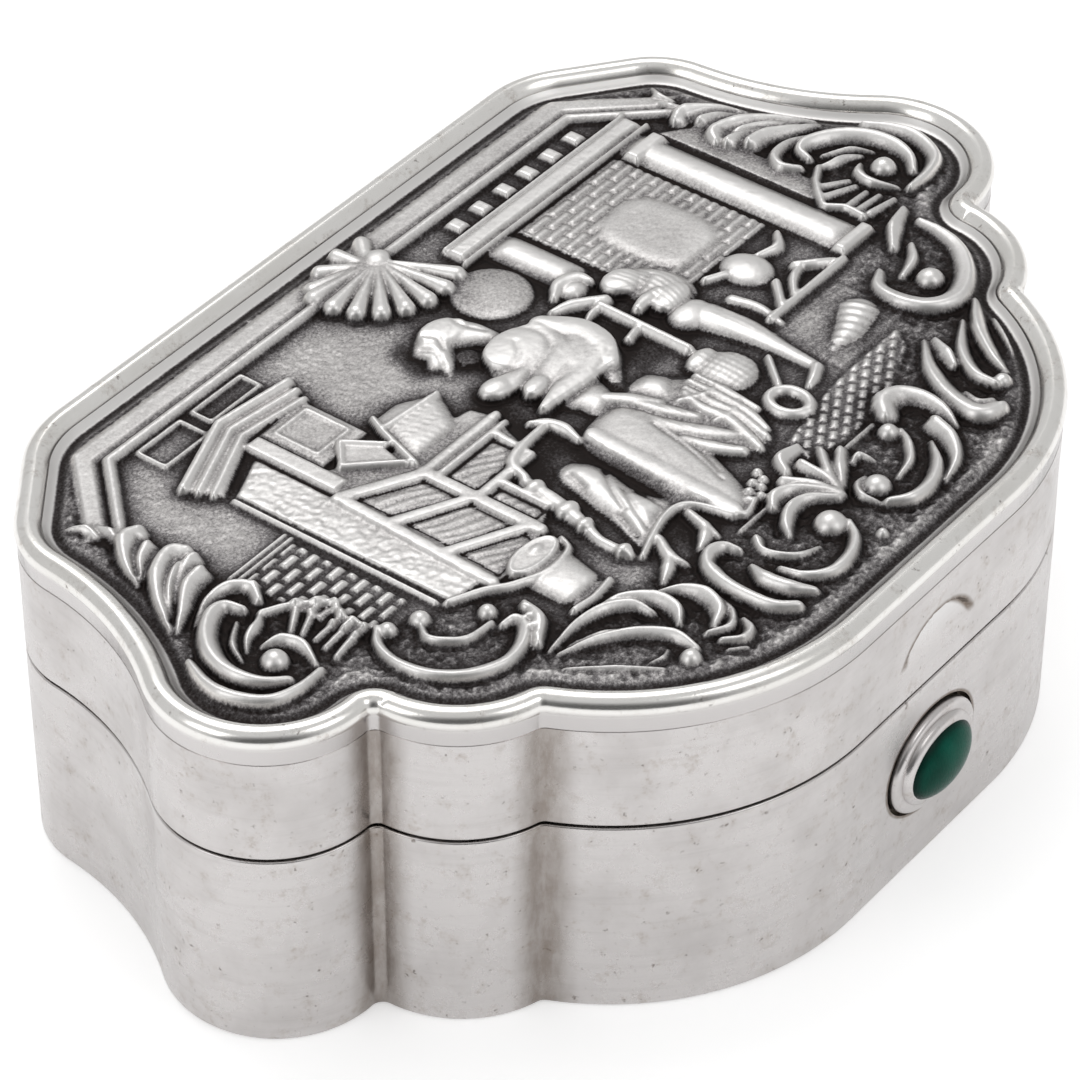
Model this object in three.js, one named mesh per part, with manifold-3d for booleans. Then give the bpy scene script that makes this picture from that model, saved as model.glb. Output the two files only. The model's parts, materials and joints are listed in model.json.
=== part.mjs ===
// Silver snuff box: shaped body and hinged lid, with a push button that frees the lid's catch.
// Millimetres, +Z up. The origin is the middle of the underside, +X runs along the length
// and -Y faces the user, where the button is. The hinge is at the back, at +Y.

import * as THREE from 'three';
import { mergeVertices } from 'three/addons/utils/BufferGeometryUtils.js';
import Module from 'manifold-3d';

// Overall size of the closed box
const LENGTH = 68.7;
const DEPTH = 45.2;
const HEIGHT = 21.8;
const SEAM_HEIGHT = 13.1;

// Plan outline: front straight and corners, two lobes and an ear on each side, hollow flanks,
// rounded shoulders and a straight back. A setback is measured from the front or back edge.
const FRONT_FLAT = 13.9;
const FRONT_CORNER_RADIUS = 16.7;
const LOBE_RADIUS = 7.0;
const LOBE_SPREAD = 40.6;
const LOBE_SETBACK = 16.4;
const EAR_RADIUS = 6.5;
const EAR_SETBACK = 23.0;
const NOTCH_RADIUS = 0.6;
const FLANK_RADIUS = 19.0;
const SHOULDER_RADIUS = 5.5;
const SHOULDER_SPREAD = 47.8;
const SHOULDER_SETBACK = 8.7;
const BACK_CORNER_RADIUS = 7.0;
const BACK_FLAT = 38.4;

// Sheet and strip
const BASE_THICKNESS = 0.8;
const BASE_EDGE_ROUND = 0.45;
const WALL_THICKNESS = 0.9;
const BEZEL_THICKNESS = 0.6;
const BEZEL_RISE = 2.1;
const LINING_THICKNESS = 0.6;
const RIM_HEIGHT = 2.1;
const RIM_WIDTH = 1.42;
const RIM_PROUD = 0.12;
const RIM_INNER_DROP = 0.64;
const GROOVE_WIDTH = 0.9;
const PANEL_EDGE_THICKNESS = 1.0;
const PANEL_CROWN = 0.22;
const PANEL_CROWN_WIDTH = 0.6;

// Relief on the panel: heights above its ground, and how far a form reaches down into the panel
const RELIEF_LOW = 0.25;
const RELIEF_MIDDLE = 0.45;
const RELIEF_HIGH = 0.62;
const RELIEF_ROOT = 0.5;
const RELIEF_BEVEL = 0.2;
const SHELL_X = 2.2;
const SHELL_Y = 17.4;
const SHELL_REACH = 5.0;
const SHELL_RIB_WIDTH = 0.75;
const SHELL_FIRST_RIB = 120;
const SHELL_LONG_RIBS = 160;
const SHELL_LAST_RIB = 300;
const SHELL_RIB_STEP = 20;
const SCROLL_CREST = 0.45;
const SCROLL_TIP = 0.45;

// Clearances
const SEAM_GAP = 0.2;
const FIT_GAP = 0.25;
const CUT_GAP = 0.3;

// Hinge: alternate knuckles on one pin, half let into the back walls
const KNUCKLE_RADIUS = 1.0;
const KNUCKLE_COUNT = 5;
const HINGE_LENGTH = 36.0;
const HINGE_SETOUT = 0.3;
const PIN_RADIUS = 0.45;

// Push button: collet and stone are ovals, given as width and height
const BUTTON_HEIGHT = 7.4;
const BUTTON_TRAVEL = 0.7;
const COLLET_WIDTH = 7.8;
const COLLET_HEIGHT = 6.5;
const COLLET_PROUD = 0.4;
const COLLET_FLOOR = 0.3;
const COLLET_EDGE_ROUND = 0.25;
const STONE_WIDTH = 5.8;
const STONE_HEIGHT = 4.5;
const STONE_RISE = 1.6;
const STEM_RADIUS = 0.9;
const WASHER_RADIUS = 1.7;
const WASHER_THICKNESS = 0.5;

// Catch: a leaf spring on the base plate with a nose over a ledge in the lid
const LEAF_WIDTH = 5.0;
const LEAF_THICKNESS = 0.4;
const FOOT_LENGTH = 6.0;
const RIVET_RADIUS = 0.5;
const RIVET_HEAD_RADIUS = 1.0;
const RIVET_HEAD_HEIGHT = 0.5;
const RIVET_SPACING = 2.6;
const KEEPER_WIDTH = 4.5;
const KEEPER_REACH = 1.0;
const KEEPER_THICKNESS = 0.5;
const HOOK_WIDTH = 4.0;
const HOOK_THICKNESS = 0.7;
const HOOK_CLEARANCE = 0.4;

// Thumbnail nick in the lid's front wall
const NICK_WIDTH = 6.4;
const NICK_SAG = 2.1;
const NICK_RISE = 2.4;
const NICK_DEPTH = 0.5;

// Fineness of the round stretches
const CHORD_ERROR = 0.04;
const LARGEST_STEP = THREE.MathUtils.degToRad(14);
const ROUND_SIDES = 24;
const RIM_STEPS = 4;
const DOME_STEPS = 4;
const BEAD_SIDES = 8;

// Levels and faces that follow from the sizes above
const bodyTop = SEAM_HEIGHT - SEAM_GAP / 2;
const lidBottom = SEAM_HEIGHT + SEAM_GAP / 2;
const lidWallTop = HEIGHT - RIM_HEIGHT;
const bezelInset = WALL_THICKNESS + FIT_GAP;
const bezelTop = SEAM_HEIGHT + BEZEL_RISE;
const frontFace = -DEPTH / 2;
const backFace = DEPTH / 2;
const frontInside = frontFace + bezelInset + BEZEL_THICKNESS;
const hingeY = backFace + HINGE_SETOUT;

const wasm = await Module();
wasm.setup();

function solidOf(geometry) {
  const bare = geometry.clone();
  bare.deleteAttribute('normal');
  bare.deleteAttribute('uv');
  const merged = mergeVertices(bare);
  return new wasm.Manifold(new wasm.Mesh({
    numProp: 3,
    vertProperties: merged.attributes.position.array,
    triVerts: Uint32Array.from(merged.index.array),
  }));
}

function geometryOf(solid) {
  const mesh = solid.getMesh();
  const result = new THREE.BufferGeometry();
  result.setAttribute('position', new THREE.BufferAttribute(mesh.vertProperties, 3));
  result.setIndex(new THREE.BufferAttribute(mesh.triVerts, 1));
  return result;
}

function cut(geometry, ...tools) {
  return geometryOf(tools.reduce((rest, tool) => rest.subtract(solidOf(tool)), solidOf(geometry)));
}

function join(...geometries) {
  return geometryOf(wasm.Manifold.union(geometries.map(solidOf)));
}

function trim(geometry, field) {
  return geometryOf(solidOf(geometry).intersect(solidOf(field)));
}

// A hollow arc of the given radius that touches two round ones from outside, on the right-hand
// side of the way from the first to the second.
function bridge(first, second, radius) {
  const dx = second.x - first.x;
  const dy = second.y - first.y;
  const apart = Math.hypot(dx, dy);
  const toFirst = first.radius + radius;
  const toSecond = second.radius + radius;
  const along = (toFirst ** 2 - toSecond ** 2 + apart ** 2) / (2 * apart);
  const aside = Math.sqrt(toFirst ** 2 - along ** 2);
  return {
    x: first.x + (dx * along + dy * aside) / apart,
    y: first.y + (dy * along - dx * aside) / apart,
    radius,
    hollow: true,
  };
}

const bearing = (from, to) => Math.atan2(to.y - from.y, to.x - from.x);

// Arcs of the right half of the outline, from the front to the back, each with its start angle
// and the angle that it sweeps.
function rightHalf() {
  const front = { x: FRONT_FLAT / 2, y: frontFace + FRONT_CORNER_RADIUS, radius: FRONT_CORNER_RADIUS };
  const lobe = { x: LOBE_SPREAD / 2, y: frontFace + LOBE_SETBACK, radius: LOBE_RADIUS };
  const ear = { x: LENGTH / 2 - EAR_RADIUS, y: frontFace + EAR_SETBACK, radius: EAR_RADIUS };
  const shoulder = { x: SHOULDER_SPREAD / 2, y: backFace - SHOULDER_SETBACK, radius: SHOULDER_RADIUS };
  const corner = { x: BACK_FLAT / 2, y: backFace - BACK_CORNER_RADIUS, radius: BACK_CORNER_RADIUS };
  const frontNotch = bridge(front, lobe, NOTCH_RADIUS);
  const earNotch = bridge(lobe, ear, NOTCH_RADIUS);
  const flank = bridge(ear, shoulder, FLANK_RADIUS);
  const chain = [front, frontNotch, lobe, earNotch, ear, flank, shoulder];

  const apart = Math.hypot(corner.x - shoulder.x, corner.y - shoulder.y);
  const lean = Math.acos((shoulder.radius - corner.radius) / apart);
  const chamferAngle = bearing(shoulder, corner) - lean;

  const arcs = chain.map((arc, i) => {
    const start = i === 0 ? -Math.PI / 2 : bearing(arc, chain[i - 1]);
    const end = i === chain.length - 1 ? chamferAngle : bearing(arc, chain[i + 1]);
    return { ...arc, start, sweep: turn(start, end, arc.hollow) };
  });
  arcs.push({ ...corner, start: chamferAngle, sweep: turn(chamferAngle, Math.PI / 2, false) });
  return arcs;
}

// Angle from start to end, clockwise on a hollow arc and anticlockwise on a round one.
function turn(start, end, clockwise) {
  const full = 2 * Math.PI;
  const forward = (((end - start) % full) + full) % full;
  return clockwise ? forward - full : forward;
}

const outlineArcs = rightHalf();

// Points of the outline, anticlockwise, moved in from the outer face by the inset.
function outline(inset) {
  const right = [];
  outlineArcs.forEach((arc, i) => {
    const radius = arc.hollow ? arc.radius + inset : arc.radius - inset;
    const step = Math.min(LARGEST_STEP, 2 * Math.acos(1 - CHORD_ERROR / Math.max(arc.radius, 1)));
    const count = Math.ceil(Math.abs(arc.sweep) / step);
    const last = i < outlineArcs.length - 2 ? count - 1 : count;
    for (let k = 0; k <= last; k++) {
      const angle = arc.start + arc.sweep * k / count;
      right.push(new THREE.Vector2(arc.x + radius * Math.cos(angle), arc.y + radius * Math.sin(angle)));
    }
  });
  const left = right.map((p) => new THREE.Vector2(-p.x, p.y)).reverse();
  return [...right, ...left];
}

// Carry a section of [inset, height] points round the outline. A ring's section closes on itself,
// going up its outer side. A plate's section runs from its lower face up to its upper face.
function carry(section, kind) {
  const rows = section.map(([inset, z]) => outline(inset).map((p) => [p.x, p.y, z]));
  const count = rows[0].length;
  const index = [];
  const bands = kind === 'ring' ? rows.length : rows.length - 1;
  for (let row = 0; row < bands; row++) {
    const lower = row * count;
    const upper = ((row + 1) % rows.length) * count;
    for (let i = 0; i < count; i++) {
      const j = (i + 1) % count;
      index.push(lower + i, lower + j, upper + j, lower + i, upper + j, upper + i);
    }
  }
  if (kind === 'plate') {
    const top = (rows.length - 1) * count;
    const flat = (row) => rows[row].map(([x, y]) => new THREE.Vector2(x, y));
    for (const [a, b, c] of THREE.ShapeUtils.triangulateShape(flat(0), [])) {
      index.push(c, b, a);
    }
    for (const [a, b, c] of THREE.ShapeUtils.triangulateShape(flat(rows.length - 1), [])) {
      index.push(top + a, top + b, top + c);
    }
  }
  const geometry = new THREE.BufferGeometry();
  geometry.setAttribute('position', new THREE.Float32BufferAttribute(rows.flat(2), 3));
  geometry.setIndex(index);
  return geometry;
}

// A plain upright strip bent round the outline, between two insets and two heights.
function strip(outer, inner, bottom, top) {
  return carry([[outer, bottom], [outer, top], [inner, top], [inner, bottom]], 'ring');
}

function block(width, depth, height, x, y, z) {
  return new THREE.BoxGeometry(width, depth, height).translate(x, y, z);
}

// A round bar along X.
function barX(radius, length) {
  return new THREE.CylinderGeometry(radius, radius, length, ROUND_SIDES).rotateZ(Math.PI / 2);
}

// An oval or round piece turned about the button's axis. Each point is [distance from the axis,
// distance outwards from the front wall's face], and the width is the height times the stretch.
function turned(points, stretch) {
  const profile = points.map(([radius, out]) => new THREE.Vector2(radius, out));
  return new THREE.LatheGeometry(profile, ROUND_SIDES).scale(stretch, 1, 1).rotateX(Math.PI);
}

function metal(colour, roughness) {
  return new THREE.MeshStandardMaterial({ color: colour, roughness, metalness: 1 });
}

const silver = () => metal(0xd8d4cb, 0.28);
const brightSilver = () => metal(0xe4e1da, 0.16);
const oxidisedSilver = () => metal(0x7d7873, 0.42);
const springSteel = () => metal(0xa9a9a8, 0.35);
const greenStone = () => new THREE.MeshStandardMaterial({ color: 0x0d4a38, roughness: 0.15, metalness: 0 });

function piece(group, name, geometry, material) {
  const mesh = new THREE.Mesh(geometry, material);
  mesh.name = name;
  group.add(mesh);
  return mesh;
}

const box = new THREE.Group();
const body = new THREE.Group();
const lid = new THREE.Group();
const button = new THREE.Group();
const catchSpring = new THREE.Group();
box.add(body, lid, button, catchSpring);

// Base plate, with its lower edge rounded
function basePlate() {
  const half = BASE_EDGE_ROUND * (1 - Math.SQRT1_2);
  return carry([
    [BASE_EDGE_ROUND, 0],
    [half, half],
    [0, BASE_EDGE_ROUND],
    [0, BASE_THICKNESS],
  ], 'plate');
}
piece(body, 'base_plate', basePlate(), silver());

// The hinge tube's groove runs through both walls, and the button's hole through the body wall.
const groove = barX(KNUCKLE_RADIUS + CUT_GAP, HINGE_LENGTH + 2 * CUT_GAP).translate(0, hingeY, SEAM_HEIGHT);

function buttonHole(width, height) {
  const through = 2 * (frontInside - frontFace);
  return new THREE.CylinderGeometry(height / 2, height / 2, through, ROUND_SIDES)
    .scale(width / height, 1, 1)
    .translate(0, frontFace + through / 4, BUTTON_HEIGHT);
}

const bodyWall = cut(
  strip(0, WALL_THICKNESS, BASE_THICKNESS, bodyTop),
  groove,
  buttonHole(COLLET_WIDTH + 2 * CUT_GAP, COLLET_HEIGHT + 2 * CUT_GAP),
);
piece(body, 'body_wall', bodyWall, silver());

// Inner bezel: the liner that the lid closes over, bored for the button's stem
const stemHole = 2 * (STEM_RADIUS + CUT_GAP);
const bezel = cut(
  strip(bezelInset, bezelInset + BEZEL_THICKNESS, BASE_THICKNESS, bezelTop),
  buttonHole(stemHole, stemHole),
);
piece(body, 'inner_bezel', bezel, silver());

// Lid wall, with the thumbnail nick sloping in from the wall's face to its round upper edge
function nickCutter() {
  const radius = ((NICK_WIDTH / 2) ** 2 + NICK_SAG ** 2) / (2 * NICK_SAG);
  const slope = Math.atan2(NICK_DEPTH, NICK_SAG);
  const reach = 2 * radius;
  return new THREE.CylinderGeometry(radius, radius, reach, 2 * ROUND_SIDES)
    .translate(0, -reach / 2, NICK_SAG - radius)
    .rotateX(-slope)
    .translate(0, frontFace, lidBottom + NICK_RISE);
}

const lidWall = cut(strip(0, WALL_THICKNESS, lidBottom, lidWallTop), groove, nickCutter());
piece(lid, 'lid_wall', lidWall, silver());

// Lining: closes the back of the panel, under the rim
piece(lid, 'lid_lining', carry([
  [bezelInset, lidWallTop - LINING_THICKNESS],
  [bezelInset, lidWallTop],
], 'plate'), silver());

// Panel: lies on the lining inside the groove, with a flat ground that carries the relief
const panelGround = lidWallTop + PANEL_EDGE_THICKNESS + PANEL_CROWN;
const reliefRoot = panelGround - RELIEF_ROOT;

function panelPlate() {
  const edge = RIM_WIDTH + GROOVE_WIDTH;
  return carry([
    [edge, lidWallTop],
    [edge, panelGround - PANEL_CROWN],
    [edge + PANEL_CROWN_WIDTH, panelGround],
  ], 'plate');
}

// A flat raised form with a bevelled edge, from the points of its outline.
function raised(height, ...points) {
  const shape = new THREE.Shape(points.map(([x, y]) => new THREE.Vector2(x, y)));
  return new THREE.ExtrudeGeometry(shape, {
    depth: RELIEF_ROOT + height - 2 * RELIEF_BEVEL,
    bevelThickness: RELIEF_BEVEL,
    bevelSize: RELIEF_BEVEL,
    bevelOffset: -RELIEF_BEVEL,
    bevelSegments: 1,
  }).translate(0, 0, reliefRoot + RELIEF_BEVEL);
}

const slab = (height, x0, x1, y0, y1) => raised(height, [x0, y0], [x1, y0], [x1, y1], [x0, y1]);

// A scroll along a smooth line through its points, widest in the middle, with sloping sides.
function scroll(width, height, ...points) {
  const line = new THREE.CatmullRomCurve3(points.map(([x, y]) => new THREE.Vector3(x, y, 0)));
  const steps = 2 * points.length - 2;
  const corners = [];
  const index = [];
  for (let k = 0; k <= steps; k++) {
    const at = line.getPoint(k / steps);
    const along = line.getTangent(k / steps);
    const half = width * (SCROLL_TIP + (1 - SCROLL_TIP) * Math.sin(Math.PI * k / steps));
    const crest = half * SCROLL_CREST;
    for (const [aside, z] of [
      [-half, reliefRoot], [-crest, panelGround + height], [crest, panelGround + height],
      [half, reliefRoot],
    ]) {
      corners.push(at.x - along.y * aside, at.y + along.x * aside, z);
    }
    for (let i = 0; i < 4 && k < steps; i++) {
      const a = 4 * k + i;
      const b = 4 * k + (i + 1) % 4;
      index.push(a, a + 4, b + 4, a, b + 4, b);
    }
  }
  const end = 4 * steps;
  index.push(0, 1, 2, 0, 2, 3, end, end + 2, end + 1, end, end + 3, end + 2);
  const geometry = new THREE.BufferGeometry();
  geometry.setAttribute('position', new THREE.Float32BufferAttribute(corners, 3));
  geometry.setIndex(index);
  return geometry;
}

// A round or oval bead, half sunk in the ground.
function bead(height, x, y, rx, ry = rx) {
  return new THREE.SphereGeometry(1, BEAD_SIDES, DOME_STEPS)
    .rotateX(Math.PI / 2)
    .scale(rx, ry, height)
    .translate(x, y, panelGround);
}

// Border of the relief: an ear scroll with its fan on each side, drawn from the middle of the ear,
// and climbing leaves, drawn from the middle of the shoulder
function earScrolls(side) {
  const from = (middleX, middleY) => (...points) => (
    points.map(([x, y]) => [side * (middleX + x), middleY + y]));
  const onEar = from(LENGTH / 2 - EAR_RADIUS, frontFace + EAR_SETBACK);
  const onShoulder = from(SHOULDER_SPREAD / 2, backFace - SHOULDER_SETBACK);
  const fan = onEar([-2.25, -2.6], [-4.65, -2], [-5.45, -0.2], [-4.45, 1.4], [-2.45, 2.4]);
  const [eye] = onEar([-0.25, -0.4]);
  return [
    scroll(0.95, RELIEF_HIGH, ...onEar([-2.85, 3.9], [-1.45, 4.7], [0.55, 4], [1.85, 2], [1.95, -0.2],
      [0.95, -1.8])),
    bead(RELIEF_HIGH, ...eye, 0.95),
    raised(RELIEF_LOW, ...(side > 0 ? fan.reverse() : fan)),
    scroll(0.7, RELIEF_MIDDLE, ...onEar([0.55, 5.5], [-1.05, 6.7], [-2.85, 7.1])),
    scroll(1.1, RELIEF_HIGH, ...onEar([0.85, 6.2], [-1.25, 8.4], [-3.65, 9.2])),
    scroll(0.95, RELIEF_HIGH, ...onShoulder([3.4, -3.9], [2.3, -2.3], [0.5, -1.3])),
    scroll(0.5, RELIEF_MIDDLE, ...onShoulder([2.5, -1.3], [1.8, 0.1], [2, 1.4])),
  ];
}

// Border of the relief: scrolls of the lobes, and sprays and scrolls along the front
function frontScrolls() {
  return [
    scroll(0.7, RELIEF_HIGH, [-22.4, -2.6], [-23.8, -4.8], [-23.2, -7.6], [-21, -9.2], [-18.4, -8.9]),
    scroll(0.5, RELIEF_MIDDLE, [-20.8, -4], [-21, -5.8], [-18.6, -6.8]),
    scroll(0.6, RELIEF_HIGH, [-18.4, -10.5], [-15.2, -10.7], [-12.8, -12], [-12, -14.4]),
    scroll(0.6, RELIEF_HIGH, [-18.2, -11.4], [-15.4, -13.2], [-14, -16]),
    scroll(0.8, RELIEF_HIGH, [-11.3, -12.2], [-10, -14.2], [-10.9, -16.4]),
    scroll(0.8, RELIEF_HIGH, [-5.9, -13.6], [-7.4, -12.8], [-8.7, -14.6], [-8.7, -16.8], [-7.6, -18.6]),
    scroll(0.8, RELIEF_MIDDLE, [-6.9, -14.8], [-7, -16.4], [-6.3, -18]),
    scroll(0.65, RELIEF_HIGH, [-5.7, -16.4], [-4.4, -18.5], [-2, -18.4], [-0.3, -16.6]),
    scroll(0.75, RELIEF_HIGH, [1.7, -16.8], [3.6, -18.6], [6.6, -18.2], [9.2, -15.7]),
    scroll(0.5, RELIEF_MIDDLE, [4.6, -16.8], [6.8, -16.4], [8.4, -14.9]),
    scroll(0.5, RELIEF_HIGH, [1.2, -15.6], [0.5, -14], [-0.2, -12.2]),
    scroll(0.5, RELIEF_HIGH, [1.6, -15.6], [2.8, -14], [4.2, -13.2]),
    scroll(0.5, RELIEF_MIDDLE, [9.7, -12.9], [10.6, -14.4], [10, -16.6]),
    scroll(1.0, RELIEF_HIGH, [14.9, -11.3], [12.5, -13.7], [11.5, -16.2], [12, -18]),
    scroll(0.6, RELIEF_HIGH, [17.1, -11.5], [15.2, -14], [14.6, -16.6]),
    scroll(0.6, RELIEF_MIDDLE, [20.2, -11], [17.8, -13.4], [16.2, -15.8]),
    scroll(1.1, RELIEF_HIGH, [18.9, -5.6], [17.5, -7.2], [18, -9.6], [20.4, -10.5], [23, -9.2],
      [24.5, -6.4]),
    scroll(0.6, RELIEF_MIDDLE, [21.2, -4.6], [23, -3.8], [25, -3.8]),
    bead(RELIEF_HIGH, -1.25, -16.2, 1),
    bead(RELIEF_HIGH, 3, -16.3, 0.95),
    bead(RELIEF_HIGH, 8.9, -13.4, 0.95),
    bead(RELIEF_HIGH, 2, -11.4, 1.15, 0.65),
    bead(RELIEF_HIGH, 20.2, -8.1, 1),
  ];
}

// The shell over the room: ribs that spread from its hinge, in degrees from +X
function shellRibs() {
  const ribs = [];
  for (let angle = SHELL_FIRST_RIB; angle <= SHELL_LAST_RIB; angle += SHELL_RIB_STEP) {
    const aim = THREE.MathUtils.degToRad(angle);
    const reach = angle < SHELL_LONG_RIBS ? SHELL_REACH / 2 : SHELL_REACH;
    const tip = [SHELL_X + reach * Math.cos(aim), SHELL_Y + reach * Math.sin(aim)];
    ribs.push(scroll(SHELL_RIB_WIDTH, RELIEF_HIGH, [SHELL_X, SHELL_Y], tip));
  }
  return ribs;
}

// The room inside the border: its moulded frame and shell, desk, counter, bucket and fireplace
function room() {
  return [
    raised(RELIEF_LOW, [-26.4, 14.2], [-25.1, 13.5], [-20.8, 18.2], [20.8, 18.2], [25.1, 13.5],
      [26.4, 14.2], [21.3, 19.85], [-21.3, 19.85]),
    ...shellRibs(),
    raised(RELIEF_MIDDLE, [-19, 10.7], [-14.4, 12.8], [-9.9, 12.8], [-9.2, 14.6], [-14.5, 15.2],
      [-20.1, 12.8]),
    slab(RELIEF_LOW, -19, -15.4, -3.6, 10.4),
    slab(RELIEF_LOW, -15.3, -9.9, 6.6, 12.8),
    raised(RELIEF_MIDDLE, [-10.2, 4.4], [-4.8, 5.2], [-5.2, 7.4], [-9.2, 8.6], [-10.2, 8.2]),
    raised(RELIEF_LOW, [-15.8, -5], [-10.9, -4.3], [-9, -3.6], [-8.6, -0.6], [-6, -0.2], [-4.6, 3.6],
      [-10.9, 3.6], [-15.3, 5.8]),
    raised(RELIEF_MIDDLE, [-14.6, -9.6], [-11.8, -9.6], [-10.9, -5.4], [-13, -4.5], [-15.1, -5.4]),
    slab(RELIEF_MIDDLE, 5.2, 22.6, 13.4, 15.4),
    slab(RELIEF_MIDDLE, 6.7, 9.3, 7.8, 13.5),
    slab(RELIEF_MIDDLE, 19, 22.1, -3.2, 13.5),
    raised(RELIEF_LOW, [12.8, 3.6], [16.4, 3.6], [17.1, 4.6], [17, 8.8], [16, 9.8], [13, 9.8],
      [11.9, 8.8], [11.9, 4.6]),
    slab(RELIEF_MIDDLE, 11.6, 18.8, -3.6, -2.8),
    bead(RELIEF_MIDDLE, 4, 10.9, 2.3, 2.4),
    bead(RELIEF_HIGH, 14.5, 1.2, 1.5, 1.3),
  ];
}

// The two figures, one seated and one standing, and the basket and cloth between them
function figures() {
  return [
    raised(RELIEF_HIGH, [-3.2, -12.2], [-1.8, -10], [-0.7, -7], [0.1, -4], [0.4, -1.4], [-0.5, -0.5],
      [-2.6, -0.9], [-3.9, -2], [-4.4, -6.5], [-4.2, -9.4], [-4, -11.6]),
    raised(RELIEF_MIDDLE, [-9.3, -9.4], [-6.8, -9.2], [-4.8, -8.8], [-5, -5], [-4.8, -3.4],
      [-5.8, -1.5], [-7, -2.7], [-8.2, -7.2]),
    raised(RELIEF_HIGH, [-2.4, 3.2], [-1.2, 1.6], [1.6, 0.6], [2.6, 0.4], [4.2, 1.4], [4.9, 3],
      [4.7, 5], [3.4, 6.9], [1.4, 7.9], [-0.6, 7.4], [-3.6, 5.6], [-3.4, 4.4]),
    raised(RELIEF_HIGH, [-3.3, 8.2], [-0.9, 9.4], [1.4, 8], [1.2, 9.8], [0, 11.6], [-1.4, 11.8],
      [-2.9, 10.2]),
    bead(RELIEF_MIDDLE, -1.1, 8.4, 1.1, 1.2),
    scroll(0.6, RELIEF_HIGH, [-3.8, 0.9], [-6.4, 0.7], [-8.2, -1], [-9.1, -5.6], [-9.8, -9]),
    raised(RELIEF_HIGH, [7.7, -8.8], [9.9, -8.4], [10.5, -4.4], [11.4, -0.6], [11.7, 3], [10.9, 5.6],
      [9, 6.6], [8, 5.4], [8.3, 3.6], [7.9, 0.2], [8.9, -1], [9.2, -7.6], [7.7, -8.2]),
    scroll(0.6, RELIEF_HIGH, [6.5, -1.2], [6.6, 1.7], [6.6, 4.6]),
    bead(RELIEF_MIDDLE, 6.9, 7.2, 1.2, 0.9),
    bead(RELIEF_HIGH, 6.3, -4, 1.9),
    scroll(1.0, RELIEF_HIGH, [3.4, -2], [3, -5], [3, -9]),
    scroll(0.8, RELIEF_MIDDLE, [0.9, -1.6], [1.3, -5], [2, -8.4]),
    raised(RELIEF_LOW, [10.9, -7.6], [14, -8.2], [16.4, -6.6], [16.2, -5], [14.4, -5.2]),
  ];
}

// The field inside the rim. A form of the relief that reaches beyond it is trimmed along the rim.
function reliefField() {
  const edge = RIM_WIDTH + FIT_GAP;
  return carry([[edge, lidWallTop], [edge, HEIGHT]], 'plate');
}

const border = [...earScrolls(1), ...earScrolls(-1), ...frontScrolls()];
const panel = trim(join(panelPlate(), ...border, ...room(), ...figures()), reliefField());
piece(lid, 'lid_panel', panel, oxidisedSilver());

// Rim: a bead that stands a little proud of the wall, rises to the box's full height
// and falls to its inner edge
function rim() {
  const crestInset = (RIM_WIDTH - RIM_PROUD) / 2;
  const bellyHeight = HEIGHT - crestInset - RIM_PROUD;
  const section = [[RIM_WIDTH, lidWallTop], [0, lidWallTop]];
  for (let k = 0; k <= RIM_STEPS; k++) {
    const angle = Math.PI / 2 * k / RIM_STEPS;
    section.push([
      crestInset - (crestInset + RIM_PROUD) * Math.cos(angle),
      bellyHeight + (HEIGHT - bellyHeight) * Math.sin(angle),
    ]);
  }
  const fall = RIM_WIDTH - crestInset;
  section.push([crestInset + fall * 0.6, HEIGHT - RIM_INNER_DROP * 0.3]);
  section.push([RIM_WIDTH, HEIGHT - RIM_INNER_DROP]);
  return carry(section, 'ring');
}
piece(lid, 'lid_rim', rim(), brightSilver());

// Keeper: a ledge inside the lid's front wall, just above the bezel
const keeperBottom = bezelTop + CUT_GAP;
const keeperY = frontFace + WALL_THICKNESS;
piece(lid, 'lid_keeper', block(
  KEEPER_WIDTH, KEEPER_REACH, KEEPER_THICKNESS,
  0, keeperY + KEEPER_REACH / 2, keeperBottom + KEEPER_THICKNESS / 2,
), silver());

// Hinge: tubes on the body and on the lid take turns along one pin
function knuckle(length) {
  const tube = new THREE.Shape().absarc(0, 0, KNUCKLE_RADIUS, 0, 2 * Math.PI);
  tube.holes.push(new THREE.Path().absarc(0, 0, PIN_RADIUS + FIT_GAP, 0, 2 * Math.PI));
  return new THREE.ExtrudeGeometry(tube, { depth: length, bevelEnabled: false, curveSegments: ROUND_SIDES })
    .translate(0, 0, -length / 2)
    .rotateY(Math.PI / 2);
}

const knuckleLength = (HINGE_LENGTH - (KNUCKLE_COUNT - 1) * CUT_GAP) / KNUCKLE_COUNT;
const places = ['left', 'middle', 'right'];
for (let i = 0; i < KNUCKLE_COUNT; i++) {
  const owner = i % 2 === 0 ? body : lid;
  const ownerName = i % 2 === 0 ? 'body' : 'lid';
  const x = (i - (KNUCKLE_COUNT - 1) / 2) * (knuckleLength + CUT_GAP);
  const place = places[1 + Math.sign(Math.round(x))];
  const tube = piece(owner, `${ownerName}_knuckle_${place}`, knuckle(knuckleLength), silver());
  tube.position.set(x, hingeY, SEAM_HEIGHT);
}

const pin = piece(body, 'hinge_pin', barX(PIN_RADIUS, HINGE_LENGTH), springSteel());
pin.position.set(0, hingeY, SEAM_HEIGHT);

// Button: the stone lies in the collet, and the stem runs through the bezel to a washer. The
// collet's back stands off the bezel by the travel and a little clearance.
button.position.set(0, frontFace, BUTTON_HEIGHT);
const colletStretch = COLLET_WIDTH / COLLET_HEIGHT;
const colletBack = BUTTON_TRAVEL + FIT_GAP - bezelInset;
const cupRadius = STONE_HEIGHT / 2 + FIT_GAP;

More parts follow.
